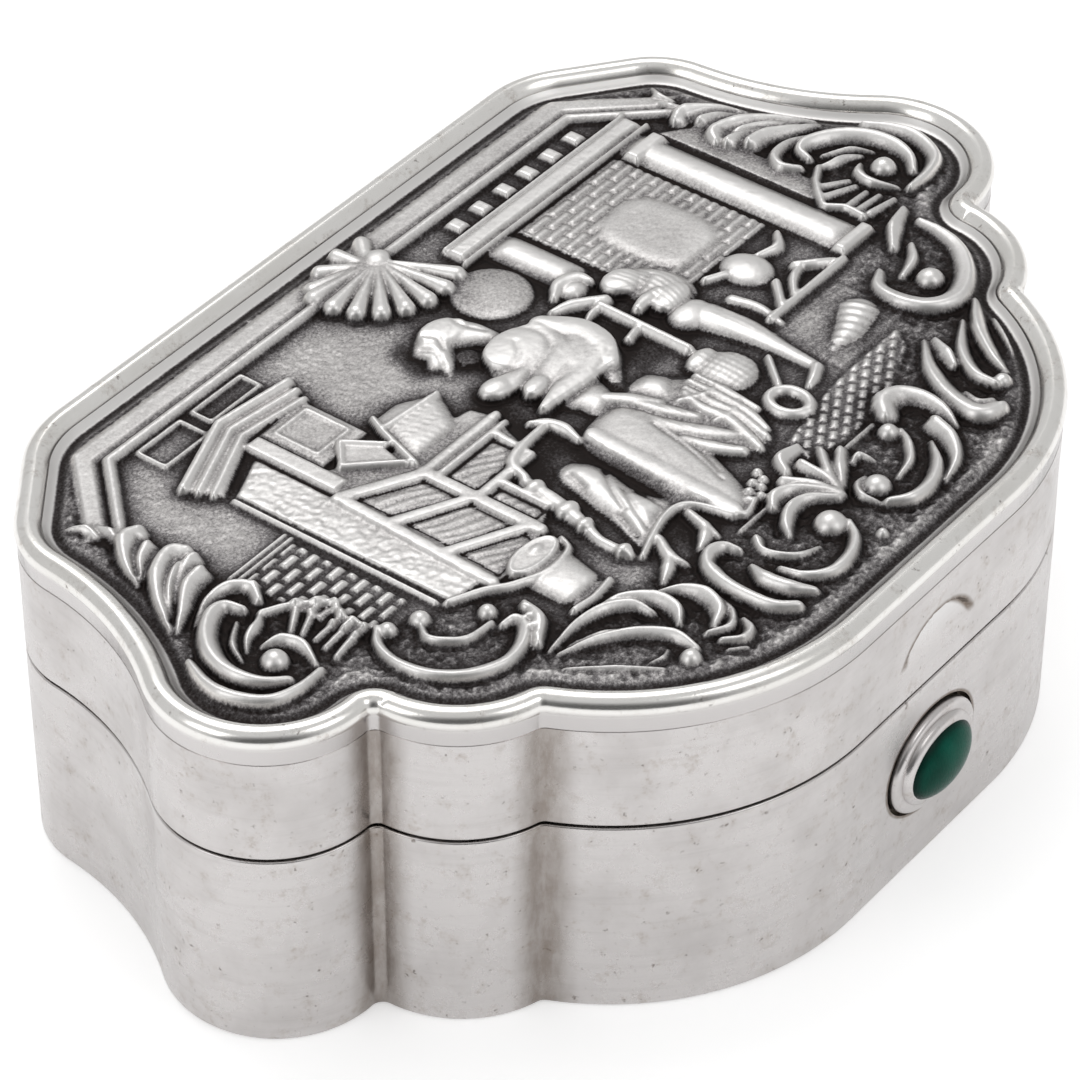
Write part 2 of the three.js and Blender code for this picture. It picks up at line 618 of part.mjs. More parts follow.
piece(button, 'button_collet', turned([
  [0, colletBack],
  [COLLET_HEIGHT / 2, colletBack],
  [COLLET_HEIGHT / 2, COLLET_PROUD - COLLET_EDGE_ROUND],
  [COLLET_HEIGHT / 2 - COLLET_EDGE_ROUND, COLLET_PROUD],
  [cupRadius, COLLET_PROUD],
  [cupRadius, colletBack + COLLET_FLOOR],
  [0, colletBack + COLLET_FLOOR],
], colletStretch), silver());

function stone() {
  const seat = colletBack + COLLET_FLOOR;
  const girdle = COLLET_PROUD - seat;
  const profile = [[0, seat], [STONE_HEIGHT / 2, seat]];
  for (let k = 0; k <= DOME_STEPS; k++) {
    const angle = Math.PI / 2 * k / DOME_STEPS;
    const radius = k === DOME_STEPS ? 0 : STONE_HEIGHT / 2 * Math.cos(angle);
    profile.push([radius, seat + girdle + (STONE_RISE - girdle) * Math.sin(angle)]);
  }
  return turned(profile, STONE_WIDTH / STONE_HEIGHT);
}
piece(button, 'button_stone', stone(), greenStone());

const washerOut = frontFace - frontInside - CUT_GAP;
const stemTip = washerOut - WASHER_THICKNESS;
piece(button, 'button_stem', turned([
  [0, washerOut],
  [STEM_RADIUS, washerOut],
  [STEM_RADIUS, colletBack],
  [0, colletBack],
], 1), silver());
piece(button, 'stem_washer', turned([
  [0, stemTip],
  [WASHER_RADIUS, stemTip],
  [WASHER_RADIUS, washerOut],
  [0, washerOut],
], 1), silver());

// Catch: the leaf stands behind the washer and swings about its bend above the foot
const leafFront = frontFace - stemTip + CUT_GAP;
const leafMiddle = leafFront + LEAF_THICKNESS / 2;
const footTop = BASE_THICKNESS + LEAF_THICKNESS;
const hookBottom = keeperBottom + KEEPER_THICKNESS + CUT_GAP;
const leafTop = hookBottom + HOOK_THICKNESS;
const bendHeight = footTop + CUT_GAP / 2;
catchSpring.position.set(0, leafMiddle, bendHeight);

const leafBottom = footTop + CUT_GAP;
piece(catchSpring, 'catch_leaf', block(
  LEAF_WIDTH, LEAF_THICKNESS, leafTop - leafBottom,
  0, 0, (leafTop + leafBottom) / 2 - bendHeight,
), springSteel());

const hookTip = keeperY + KEEPER_REACH + HOOK_CLEARANCE;
const hookReach = leafFront - hookTip;
function hook() {
  const side = new THREE.Shape();
  side.moveTo(0, 0);
  side.lineTo(hookReach, 0);
  side.lineTo(hookReach, HOOK_THICKNESS / 3);
  side.lineTo(0, HOOK_THICKNESS);
  side.closePath();
  return new THREE.ExtrudeGeometry(side, { depth: HOOK_WIDTH, bevelEnabled: false })
    .translate(0, 0, -HOOK_WIDTH / 2)
    .applyMatrix4(new THREE.Matrix4().makeBasis(
      new THREE.Vector3(0, -1, 0),
      new THREE.Vector3(0, 0, 1),
      new THREE.Vector3(-1, 0, 0),
    ))
    .translate(0, leafFront - leafMiddle, hookBottom - bendHeight);
}
piece(catchSpring, 'catch_hook', hook(), springSteel());

// Foot of the leaf, lying on the base plate and held by two rivets
const footMiddle = leafFront + FOOT_LENGTH / 2;
const rivetY = leafFront + FOOT_LENGTH * 0.6;
const rivetX = [-RIVET_SPACING / 2, RIVET_SPACING / 2];
const footHeight = BASE_THICKNESS + LEAF_THICKNESS / 2;
const rivetHoles = rivetX.map((x) => new THREE.CylinderGeometry(
  RIVET_RADIUS + CUT_GAP, RIVET_RADIUS + CUT_GAP, 4 * LEAF_THICKNESS, ROUND_SIDES,
).rotateX(Math.PI / 2).translate(x, rivetY, footHeight));
const foot = block(LEAF_WIDTH, FOOT_LENGTH, LEAF_THICKNESS, 0, footMiddle, footHeight);
piece(body, 'catch_foot', cut(foot, ...rivetHoles), springSteel());

rivetX.forEach((x) => {
  const profile = [
    new THREE.Vector2(0, 0),
    new THREE.Vector2(RIVET_RADIUS, 0),
    new THREE.Vector2(RIVET_RADIUS, LEAF_THICKNESS),
    new THREE.Vector2(RIVET_HEAD_RADIUS, LEAF_THICKNESS),
    new THREE.Vector2(RIVET_HEAD_RADIUS * 0.75, LEAF_THICKNESS + RIVET_HEAD_HEIGHT * 0.7),
    new THREE.Vector2(0, LEAF_THICKNESS + RIVET_HEAD_HEIGHT),
  ];
  const shape = new THREE.LatheGeometry(profile, ROUND_SIDES).rotateX(Math.PI / 2);
  const rivet = piece(body, `catch_rivet_${x < 0 ? 'left' : 'right'}`, shape, silver());
  rivet.position.set(x, rivetY, BASE_THICKNESS);
});

export default box;
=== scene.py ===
"""A shaped silver snuff box with a hinged lid, a stamped and oxidised relief panel and a push button
set with a green cabochon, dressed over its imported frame. The pieces come in the order of assembly."""

import json
import math
import bpy
import numpy as np
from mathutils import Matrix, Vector

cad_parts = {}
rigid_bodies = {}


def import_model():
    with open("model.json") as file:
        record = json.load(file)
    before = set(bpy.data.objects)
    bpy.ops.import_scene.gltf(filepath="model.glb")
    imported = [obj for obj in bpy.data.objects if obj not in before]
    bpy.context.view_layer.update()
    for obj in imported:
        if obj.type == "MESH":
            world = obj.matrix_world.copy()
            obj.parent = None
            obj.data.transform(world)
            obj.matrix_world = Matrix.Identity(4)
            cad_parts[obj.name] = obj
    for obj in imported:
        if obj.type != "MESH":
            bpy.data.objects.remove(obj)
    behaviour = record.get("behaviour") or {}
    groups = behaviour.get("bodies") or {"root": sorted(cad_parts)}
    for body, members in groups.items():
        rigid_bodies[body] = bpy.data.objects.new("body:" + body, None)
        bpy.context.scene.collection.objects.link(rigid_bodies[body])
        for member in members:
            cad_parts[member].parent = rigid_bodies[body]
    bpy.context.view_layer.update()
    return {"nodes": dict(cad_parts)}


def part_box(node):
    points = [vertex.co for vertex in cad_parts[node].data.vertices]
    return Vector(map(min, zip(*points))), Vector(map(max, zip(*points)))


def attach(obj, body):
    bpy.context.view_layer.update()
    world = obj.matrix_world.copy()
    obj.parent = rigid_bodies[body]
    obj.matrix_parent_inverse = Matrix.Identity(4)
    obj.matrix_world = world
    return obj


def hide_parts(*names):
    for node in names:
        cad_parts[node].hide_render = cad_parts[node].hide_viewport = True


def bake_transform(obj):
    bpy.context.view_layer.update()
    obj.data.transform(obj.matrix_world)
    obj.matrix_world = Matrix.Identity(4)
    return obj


for stray in list(bpy.data.objects):
    bpy.data.objects.remove(stray)
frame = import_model()
MM = 0.001


# Studio: a pale floor and a plain white surround that is darker on the side of the viewer, as in a
# light tent with an open front. The camera looks down on the front left corner with a long lens.
scene = bpy.context.scene
scene.view_settings.view_transform = "Standard"

VIEW_FROM = Vector((-166.605, -123.664, 182.443)) * MM
VIEW_ALONG = Vector((0.6118, 0.4692, -0.6368))
LENS = 160.0
SENSOR_WIDTH = 36.0
camera_data = bpy.data.cameras.new("viewpoint")
camera_data.lens = LENS
camera_data.sensor_width = SENSOR_WIDTH
camera_data.clip_start = 0.01
camera = bpy.data.objects.new("viewpoint", camera_data)
camera.location = VIEW_FROM
camera.rotation_euler = VIEW_ALONG.to_track_quat("-Z", "Y").to_euler()
scene.collection.objects.link(camera)
scene.camera = camera


class Tone:
    """One output socket in a finish's node tree. Arithmetic on it adds Math nodes."""

    def __init__(self, finish, socket):
        self.finish = finish
        self.socket = socket

    def math(self, operation, *values):
        return self.finish.node("ShaderNodeMath", {"operation": operation}, *values)

    def __add__(self, other):
        return self.math("ADD", self, other)

    def __sub__(self, other):
        return self.math("SUBTRACT", self, other)

    def __rsub__(self, other):
        return self.math("SUBTRACT", other, self)

    def __mul__(self, other):
        return self.math("MULTIPLY", self, other)

    __radd__ = __add__
    __rmul__ = __mul__

    def between(self, low, high):
        """0 below low, 1 above high, with a smooth step between them."""
        settings = {"interpolation_type": "SMOOTHSTEP"}
        return self.finish.node("ShaderNodeMapRange", settings, self, low, high, 0.0, 1.0)


class Finish:
    """A surface finish: one Principled shader, or the world's background, and the nodes that feed it."""

    def __init__(self, name, owner=None, **constants):
        self.owner = owner or bpy.data.materials.new(name)
        self.owner.use_nodes = True
        self.tree = self.owner.node_tree
        kinds = ("BSDF_PRINCIPLED", "BACKGROUND")
        self.shader = next((n for n in self.tree.nodes if n.type in kinds), None)
        self.feed(**constants)

    def put(self, socket, value):
        if isinstance(value, Tone):
            self.tree.links.new(value.socket, socket)
        else:
            socket.default_value = value

    def node(self, kind, settings, *values, output=0, **named):
        made = self.tree.nodes.new(kind)
        for key, value in settings.items():
            if key == "stops":
                self.set_stops(made.color_ramp, value)
            else:
                setattr(made, key, value)
        for socket, value in zip(made.inputs, values):
            self.put(socket, value)
        for key, value in named.items():
            self.put(made.inputs[key.replace("_", " ")], value)
        return Tone(self, made.outputs[output])

    @staticmethod
    def set_stops(ramp, stops):
        while len(ramp.elements) < len(stops):
            ramp.elements.new(0.5)
        for element, (place, colour) in zip(ramp.elements, stops):
            element.position = place
            element.color = (*colour, 1.0)

    def feed(self, **inputs):
        for key, value in inputs.items():
            self.put(self.shader.inputs[key.replace("_", " ")], value)

    def spot(self):
        """Object coordinates."""
        return self.node("ShaderNodeTexCoord", {}, output="Object")

    def along(self, axis):
        """One of the object coordinates."""
        return self.node("ShaderNodeSeparateXYZ", {}, self.spot(), output=axis)

    def vector(self, operation, *values, output=0):
        return self.node("ShaderNodeVectorMath", {"operation": operation}, *values, output=output)

    def away(self, centre, scale, spot=None):
        """Distance from a centre, after each coordinate is scaled. A scale of 0 leaves one out."""
        scaled = self.vector("MULTIPLY", spot or self.spot(), scale)
        return self.vector("DISTANCE", scaled, centre, output="Value")

    def noise(self, size, detail, rough, stretch=(1, 1, 1), turn=(0, 0, 0)):
        """Cloudy noise in object coordinates, stretched and turned: patches about size metres wide, from 0
        to 1."""
        where = self.node("ShaderNodeMapping", {}, self.spot(), (0, 0, 0), turn, stretch)
        settings = {"Scale": 1 / size, "Detail": detail, "Roughness": rough}
        return self.node("ShaderNodeTexNoise", {}, Vector=where, **settings)

    def ramp(self, tone, *stops):
        return self.node("ShaderNodeValToRGB", {"stops": stops}, tone)

    def mix(self, factor, first, second):
        """Colours mixed by a factor."""
        made = self.node("ShaderNodeMix", {"data_type": "RGBA"}, output=2)
        sockets = made.socket.node.inputs
        for socket, value in ((0, factor), (6, first), (7, second)):
            self.put(sockets[socket], value)
        return made

    def bump(self, height, depth, strength):
        return self.node("ShaderNodeBump", {}, Strength=strength, Distance=depth, Height=height)


# The surround: white all over for what the lens sees, and for reflections bright above and behind
# the box but dim low down on the viewer's side.
TENT_BRIGHT = 0.62
TENT_DIM = 0.10
TENT_OPENING = Vector((-0.7935, -0.6085, 0.16)).normalized()
OPENING_EDGE = (0.62, 0.96)
world = bpy.data.worlds.new("tent")
scene.world = world
tent = Finish("tent", owner=world)
facing = tent.node("ShaderNodeTexCoord", {}, output="Generated")
opening = tent.vector("DOT_PRODUCT", facing, TENT_OPENING, output="Value").between(*OPENING_EDGE)
brightness = TENT_BRIGHT - opening * (TENT_BRIGHT - TENT_DIM)
seen = tent.node("ShaderNodeLightPath", {}, output="Is Camera Ray")
strength = tent.node("ShaderNodeMath", {"operation": "MAXIMUM"}, brightness, seen)
tent.feed(Color=(1, 1, 1, 1), Strength=strength)


LAMP_TARGET = Vector((0, 0, 0.01))


def lamp(name, place, width, power):
    """A flat square softbox, width metres wide, at a place, facing the box."""
    data = bpy.data.lights.new(name, "AREA")
    data.shape = "RECTANGLE"
    data.size = width
    data.size_y = width
    data.energy = power
    made = bpy.data.objects.new(name, data)
    made.location = place
    made.rotation_euler = (LAMP_TARGET - Vector(place)).to_track_quat("-Z", "Y").to_euler()
    scene.collection.objects.link(made)


lamp("overhead_softbox", (0.10, 0.16, 0.42), 0.30, 0.50)
lamp("left_softbox", (-0.38, 0.10, 0.28), 0.22, 0.25)
lamp("front_softbox", (0.02, -0.33, 0.38), 0.20, 0.20)

FLOOR_HALF = 2.0
FLOOR_SEEN, FLOOR_REFLECTED = 0.44, 0.29
BLACK, WHITE = (0, 0, 0, 1), (1, 1, 1, 1)
floor_mesh = bpy.data.meshes.new("floor")
corners = [(x * FLOOR_HALF, y * FLOOR_HALF, 0) for x, y in ((-1, -1), (1, -1), (1, 1), (-1, 1))]
floor_mesh.from_pydata(corners, [], [(0, 1, 2, 3)])
floor = bpy.data.objects.new("floor", floor_mesh)
scene.collection.objects.link(floor)
paper = Finish("floor_paper", Base_Color=(0.9, 0.9, 0.9, 1), Roughness=0.9, Specular_IOR_Level=0.0)
ray = paper.node("ShaderNodeLightPath", {}, output="Is Camera Ray")
shiny = paper.node("ShaderNodeLightPath", {}, output="Is Glossy Ray")
glow = paper.mix(ray * FLOOR_SEEN + shiny * FLOOR_REFLECTED, BLACK, WHITE)
paper.feed(Emission_Color=glow, Emission_Strength=1.0)
floor_mesh.materials.append(paper.owner)


# Body wall: one strip of sterling sheet bent to the shaped outline and soldered, pierced with an oval
# for the button and filed at the back for the hinge. Its face is satin from handling.
FRONT_FLAT, FRONT_RADIUS = 13.9, 16.7
LOBE_SPREAD, LOBE_SETBACK, LOBE_RADIUS = 40.6, 16.4, 7.0
EAR_SETBACK, EAR_RADIUS = 23.0, 6.5
NOTCH_RADIUS, FLANK_RADIUS = 0.6, 19.0
SHOULDER_SPREAD, SHOULDER_SETBACK, SHOULDER_RADIUS = 47.8, 8.7, 5.5
BACK_FLAT, BACK_RADIUS = 38.4, 7.0


def span(node):
    """The low and high corners of a node of the frame, in millimetres."""
    return [np.array(corner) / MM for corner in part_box(node)]


def half_outline(length, depth):
    """Arcs of the right half of the plan, from front to back, in millimetres: each is its centre and radius,
    whether it is hollow, its start angle and its sweep. Hollow arcs touch their two round neighbours."""
    front, back = -depth / 2, depth / 2
    front_arc = (FRONT_FLAT / 2, front + FRONT_RADIUS, FRONT_RADIUS)
    lobe = (LOBE_SPREAD / 2, front + LOBE_SETBACK, LOBE_RADIUS)
    ear = (length / 2 - EAR_RADIUS, front + EAR_SETBACK, EAR_RADIUS)
    shoulder = (SHOULDER_SPREAD / 2, back - SHOULDER_SETBACK, SHOULDER_RADIUS)
    corner = (BACK_FLAT / 2, back - BACK_RADIUS, BACK_RADIUS)

    def bearing(first, second):
        """Angle of the way from one centre to another."""
        return math.atan2(second[1] - first[1], second[0] - first[0])

    def bridge(first, second, radius):
        """Centre of a hollow arc touching two round ones, on the right of the way between them."""
        gap = np.subtract(second[:2], first[:2])
        apart = np.hypot(*gap)
        reach = first[2] + radius
        along = (reach**2 - (second[2] + radius) ** 2 + apart**2) / (2 * apart)
        aside = math.sqrt(reach**2 - along**2)
        centre = np.array(first[:2]) + (gap * along + np.array([gap[1], -gap[0]]) * aside) / apart
        return (*centre, radius)

    chain = [
        (front_arc, False), (bridge(front_arc, lobe, NOTCH_RADIUS), True), (lobe, False),
        (bridge(lobe, ear, NOTCH_RADIUS), True), (ear, False), (bridge(ear, shoulder, FLANK_RADIUS), True),
        (shoulder, False), (corner, False),
    ]
    apart = math.hypot(corner[0] - shoulder[0], corner[1] - shoulder[1])
    chamfer = bearing(shoulder, corner) - math.acos((shoulder[2] - corner[2]) / apart)
    arcs = []
    for i, (arc, hollow) in enumerate(chain):
        start = -math.pi / 2 if i == 0 else chamfer if i == 7 else bearing(arc, chain[i - 1][0])
        end = math.pi / 2 if i == 7 else chamfer if i == 6 else bearing(arc, chain[i + 1][0])
        sweep = (end - start) % (2 * math.pi) - (2 * math.pi if hollow else 0)
        arcs.append((arc, hollow, start, sweep))
    return arcs


wall_low, wall_high = span("body_wall")
PLAN = half_outline(*(wall_high - wall_low)[:2])
ARC_STEP = math.radians(2.5)
FLAT_STEP = 0.12
BACK_STEP = 1.0
STRAIGHT_AFTER = [arc[0][2] for arc in PLAN[-2:]]


def outline_rail():
    """Points on the outer outline in millimetres, anticlockwise, and the unit normals that point inwards.
    A point moved along its normal lies on the outline's inset curve."""
    points, normals = [], []
    for (cx, cy, radius), hollow, start, sweep in PLAN:
        steps = max(3, math.ceil(abs(sweep) / ARC_STEP))
        shares = np.linspace(0, 1, steps + 1)
        angle = start + sweep * (shares if radius in STRAIGHT_AFTER else shares[:-1])
        ray = np.stack([np.cos(angle), np.sin(angle)], 1)
        points.append(np.array([cx, cy]) + radius * ray)
        normals.append(ray if hollow else -ray)
    right, inward = np.concatenate(points), np.concatenate(normals)
    front_x = np.arange(FLAT_STEP / 2, right[0, 0], FLAT_STEP)
    front = np.stack([front_x, np.full_like(front_x, right[0, 1])], 1)
    back_x = np.arange(right[-1, 0] - BACK_STEP, 0, -BACK_STEP)
    back = np.stack([back_x, np.full_like(back_x, right[-1, 1])], 1)
    half = np.concatenate([front, right, back])
    to_back, to_front = np.tile([0.0, 1.0], (len(front), 1)), np.tile([0.0, -1.0], (len(back), 1))
    turn = np.concatenate([to_back, inward, to_front])
    mirror = np.array([-1.0, 1.0])
    return np.concatenate([half, half[::-1] * mirror]), np.concatenate([turn, turn[::-1] * mirror])


RAIL, INWARD = outline_rail()


def lattice(rows, columns, close_rows, close_columns):
    """Quads of a grid of rows by columns of points, closed on itself where asked."""
    r = np.arange(rows if close_rows else rows - 1)
    c = np.arange(columns if close_columns else columns - 1)
    r, c = np.meshgrid(r, c, indexing="ij")
    up, across = (r + 1) % rows, (c + 1) % columns
    corners = ((r, c), (r, across), (up, across), (up, c))
    return np.stack([row * columns + column for row, column in corners], -1).reshape(-1, 4)


def tube(rows, ring):
    """Faces of a tube of rows of ring points, with a face at each end."""
    last = (rows - 1) * ring
    ends = [list(range(ring))[::-1], list(range(last, last + ring))]
    return lattice(rows, ring, False, True).tolist() + ends


SHARP = 40.0


def shape(name, points, faces, finish, sharp):
    """A mesh of points in millimetres, smooth but for edges sharper than an angle in degrees."""
    mesh = bpy.data.meshes.new(name)
    points = np.asarray(points, float).reshape(-1, 3) * MM
    if isinstance(faces, np.ndarray):
        mesh.vertices.add(len(points))
        mesh.vertices.foreach_set("co", points.ravel())
        mesh.loops.add(faces.size)
        mesh.loops.foreach_set("vertex_index", faces.ravel().astype(np.int32))
        mesh.polygons.add(len(faces))
        mesh.polygons.foreach_set("loop_start", np.arange(0, faces.size, faces.shape[1], dtype=np.int32))
        mesh.update(calc_edges=True)
    else:
        mesh.from_pydata(points.tolist(), [], [list(map(int, f)) for f in faces])
    mesh.validate()
    mesh.polygons.foreach_set("use_smooth", np.ones(len(mesh.polygons), bool))
    if sharp:
        mesh.set_sharp_from_angle(angle=math.radians(sharp))
    mesh.materials.append(finish.owner)
    made = bpy.data.objects.new(name, mesh)
    scene.collection.objects.link(made)
    return made


def piece(name, points, faces, finish, body, slot, node, sharp=SHARP):
    """A shape that rides on a body and takes the place of a node of the frame."""
    made = shape(name, points, faces, finish, sharp)
    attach(made, body)
    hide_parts(node)
    return made


def carve(made, *cutters):
    """Cuts closed meshes, given as points in millimetres and faces, out of a piece."""
    tools = []
    for points, faces in cutters:
        mesh = bpy.data.meshes.new("cutter")
        mesh.from_pydata((np.asarray(points) * MM).tolist(), [], [list(map(int, f)) for f in faces])
        tool = bpy.data.objects.new("cutter", mesh)
        scene.collection.objects.link(tool)
        tools.append(tool)
        cut = made.modifiers.new("cut", "BOOLEAN")
        cut.operation = "DIFFERENCE"
        cut.solver = "EXACT"
        cut.object = tool
    bpy.context.view_layer.update()
    graph = bpy.context.evaluated_depsgraph_get()
    result = bpy.data.meshes.new_from_object(made.evaluated_get(graph))
    made.modifiers.clear()
    made.data = result
    result.name = made.name
    for tool in tools:
        bpy.data.objects.remove(tool)
    result.polygons.foreach_set("use_smooth", np.ones(len(result.polygons), bool))
    result.set_sharp_from_angle(angle=math.radians(SHARP))


def turned_over(faces):
    """The same faces wound the other way."""
    return [face[::-1] for face in faces]


def bar(radius, length, middle, axis, stretch=1.0, sides=48):
    """A closed round bar along an axis, 0 for x and 1 for y, oval in x where stretched: points and faces."""
    angle = np.linspace(0, 2 * np.pi, sides, endpoint=False)
    ring = np.stack([np.cos(angle) * radius, np.sin(angle) * radius], 1)
    ends = []
    for side in (-0.5, 0.5):
        along = np.full(sides, side * length)
        if axis == 0:
            ends.append(np.stack([along, ring[:, 0], ring[:, 1]], 1))
        else:
            ends.append(np.stack([ring[:, 0] * stretch, along, ring[:, 1]], 1))
    points = np.concatenate(ends) + np.asarray(middle)
    faces = tube(2, sides)
    return points, faces if axis == 0 else turned_over(faces)


def swept(section):
    """A closed section of (inset, height) points carried round the outline: points and faces."""
    inset, z = np.asarray(section, float).T
    flat = RAIL[:, None, :] + inset[None, :, None] * INWARD[:, None, :]
    points = np.concatenate([flat, np.broadcast_to(z[None, :, None], (*flat.shape[:2], 1))], -1)
    return points, lattice(len(RAIL), len(section), True, True)


def rounded_strip(outer, inner, low, high, low_round, high_round, rows):
    """Section of an upright strip with rounded edges, going up its outer side."""
    quarter = np.linspace(0, np.pi / 2, 5)
    section = []
    if low_round:
        for a in quarter[:-1]:
            section.append((outer + low_round * (1 - math.sin(a)), low + low_round * (1 - math.cos(a))))
    section += [(outer, z) for z in np.linspace(low + low_round, high - high_round, rows)]
    if high_round:
        for a in quarter[1:]:
            section.append((outer + high_round * (1 - math.cos(a)), high - high_round * (1 - math.sin(a))))
        for a in quarter:
            section.append((inner - high_round * (1 - math.sin(a)), high - high_round * (1 - math.cos(a))))
    else:
        section.append((inner, high))
    section += [(inner, z) for z in np.linspace(high - high_round, low, 4)[1:]]
    return section


def hand_wave(points, low, high, depth):
    """Moves an outer wall in and out by a few hundredths, as planishing leaves it, fading at both edges."""
    turn = np.unwrap(np.arctan2(points[..., 1], points[..., 0]), axis=0)
    z = points[..., 2]
    wave = np.sin(7 * turn + 0.5 * z) + 0.7 * np.sin(13 * turn - 0.8 * z + 1.3)
    wave += 0.5 * np.sin(23 * turn + 2.1)
    fade = np.clip((z - low) * (high - z) / (0.25 * (high - low) ** 2), 0, 1)
    return depth * wave * fade


SILVER, DULL_SILVER = (0.662, 0.638, 0.63, 1), (0.53, 0.505, 0.495, 1)
WARM_SPECK, PIN_MARK = (0.42, 0.365, 0.32, 1), (0.16, 0.135, 0.12, 1)
silver = Finish("worn_silver", Metallic=1.0)


def wear_silver(finish, bright, dull, rubbed=0.5):
    """Satin silver: faint clouds, warm specks, dark pin marks, brushed hairlines and fine scratches."""
    cloud = finish.noise(5 * MM, 5, 0.6)
    stain = finish.noise(1.3 * MM, 6, 0.7)
    pits = finish.noise(0.42 * MM, 2, 0.6)
    hair = finish.noise(0.9 * MM, 4, 0.7, stretch=(0.12, 0.12, 2.2))
    cross = finish.noise(1.3 * MM, 3, 0.7, stretch=(2.0, 2.0, 0.16), turn=(0.5, 0.3, 0.9))
    body = finish.mix(cloud.between(0.40, 0.70) * 0.6 + hair.between(0.45, 0.75) * 0.3, bright, dull)
    grain = finish.noise(0.30 * MM, 4, 0.7)
    blotch = stain.between(0.50, 0.72) * (0.25 + 0.75 * grain.between(0.40, 0.62))
    warm = finish.mix(blotch * 0.6, body, WARM_SPECK)
    dots = pits.between(0.64, 0.75) * (0.15 + 0.85 * stain.between(0.46, 0.62))
    marked = finish.mix(dots * 0.75, warm, PIN_MARK)
    rough = 0.20 + 0.16 * cloud + 0.10 * stain.between(0.5, 0.75)
    finish.feed(Roughness=rough * (0.8 + rubbed * 0.4))
    relief = hair * 0.5 + cross * 0.45 + pits.between(0.70, 0.80) * -0.8
    finish.feed(Base_Color=marked, Normal=finish.bump(relief, 0.012 * MM, 0.45))
    return marked


# Brown for tarnishing and painted shade, a light grey for a painted highlight, and the reach of the notches'
# darkening.
TARNISH_AND_SHADE = (0.20, 0.16, 0.13, 1)
PAINTED_HIGHLIGHT = (0.86, 0.86, 0.86, 1)
NOTCH_TARNISH_SHADE_WIDTH = 2.0


def tarnish_and_shade_notches(finish, colour):
    """Brown tarnishing that the cloth never reaches, and painted shade, fading out on each side of the
    notches of the outline.
    """
    folded = finish.vector("ABSOLUTE", finish.spot())
    near = 0.0
    for (x, y, _), hollow, _, _ in PLAN[:4]:
        if hollow:
            away = finish.away((x * MM, -y * MM, 0), (1, 1, 0), folded)
            near = near + (1 - away.between(0.2 * MM, NOTCH_TARNISH_SHADE_WIDTH * MM))
    streak = finish.noise(0.7 * MM, 5, 0.65, stretch=(1, 1, 0.35))
    with_painted_shade = finish.mix(near * (0.58 + 0.30 * streak.between(0.30, 0.70)), colour, TARNISH_AND_SHADE)
    finish.feed(Base_Color=with_painted_shade)
    return with_painted_shade


def paint_shade_line(finish, colour, level, radius, width, stretch=1.0, floor=0.0, brightening=0.0):
    """A dark brown line of painted shade on the front along a circle round a level, oval where stretched,
    above a floor. Inside it the silver may be lightened by a painted highlight."""
    away = finish.away((0, 0, level * MM), (1 / stretch, 0, 1))
    off = away.math("ABSOLUTE", away - radius * MM)
    front = 1 - finish.along("Y").between(-18 * MM, -14 * MM)
    height = finish.along("Z")
    above = height.between((floor - 0.2) * MM, (floor + 0.3) * MM)
    patchy = finish.noise(0.5 * MM, 4, 0.6).between(0.15, 0.60)
    # Painted shade: a dark brown line along the circle.
    line = (1 - off.between(0.3 * width * MM, width * MM)) * front * above * (0.55 + 0.45 * patchy)
    high = height.between(floor * MM, (floor + 1.6) * MM)
    # Painted highlight: the silver lightened inside the circle.
    within = (1 - away.between((radius - 0.4) * MM, radius * MM)) * front * high * brightening
    with_painted_shade = finish.mix(line, finish.mix(within, colour, PAINTED_HIGHLIGHT), TARNISH_AND_SHADE)
    finish.feed(Base_Color=with_painted_shade)
    return with_painted_shade


# Worn silver, with brown tarnishing and painted shade in the notches.
wear_and_shade = tarnish_and_shade_notches(silver, wear_silver(silver, SILVER, DULL_SILVER))

EDGE_ROUND = 0.12
WALL = 0.9
WAVE_DEPTH = 0.016
section = rounded_strip(0, WALL, wall_low[2], wall_high[2], 0, EDGE_ROUND, 26)
points, faces = swept(section)
waves = hand_wave(points, wall_low[2], wall_high[2], WAVE_DEPTH) * (np.asarray(section)[:, 0] < 0.01)
points[..., :2] += waves[..., None] * INWARD[:, None, :]
collet_low, collet_high = span("button_collet")
collet_size = collet_high - collet_low
button_axis = (collet_low + collet_high) / 2
HOLE_GAP = 0.24
DRILL_LENGTH = 6.0
# Width of the painted shade line round the button hole.
GAP_SHADE_LINE = 0.22
front_y = wall_low[1]
hole_radius = collet_size[2] / 2 + HOLE_GAP
hole_ratio = (collet_size[0] + 2 * HOLE_GAP) / (collet_size[2] + 2 * HOLE_GAP)
button_hole = bar(hole_radius, DRILL_LENGTH, (0, front_y, button_axis[2]), 1, hole_ratio, 96)
# Painted shade: a dark ring on the wall's face round the button hole.
wear_and_shade = paint_shade_line(silver, wear_and_shade, button_axis[2], hole_radius, GAP_SHADE_LINE, hole_ratio)
pin_low, pin_high = span("hinge_pin")
hinge = (pin_low + pin_high) / 2
hinge_length = pin_high[0] - pin_low[0]
KNUCKLE = 1.0
CUT_GAP = 0.3
GROOVE = KNUCKLE + CUT_GAP
hinge_groove = bar(GROOVE, hinge_length + 2 * CUT_GAP, hinge, 0)
body_wall = piece("body_wall_strip", points, faces, silver, "body", "silver", "body_wall")
carve(body_wall, button_hole, hinge_groove)


# Base plate: a flat sheet of the same outline, soldered under the wall, with its lower edge rounded
# off. The box stands on it.
plate_top = span("base_plate")[1][2]
BASE_ROUND = 0.45
corner_angle = np.linspace(0, np.pi / 2, 7)
base_levels = [(BASE_ROUND * (1 - math.sin(a)), BASE_ROUND * (1 - math.cos(a))) for a in corner_angle]
base_levels.append((0.0, plate_top))


def plate(levels):
    """A flat plate from a stack of (inset, height) levels, with a face below and one above."""
    points, _ = swept(levels)
    return points.transpose(1, 0, 2), tube(len(levels), len(RAIL))


piece("base_sheet", *plate(base_levels), silver, "body", "silver", "base_plate")


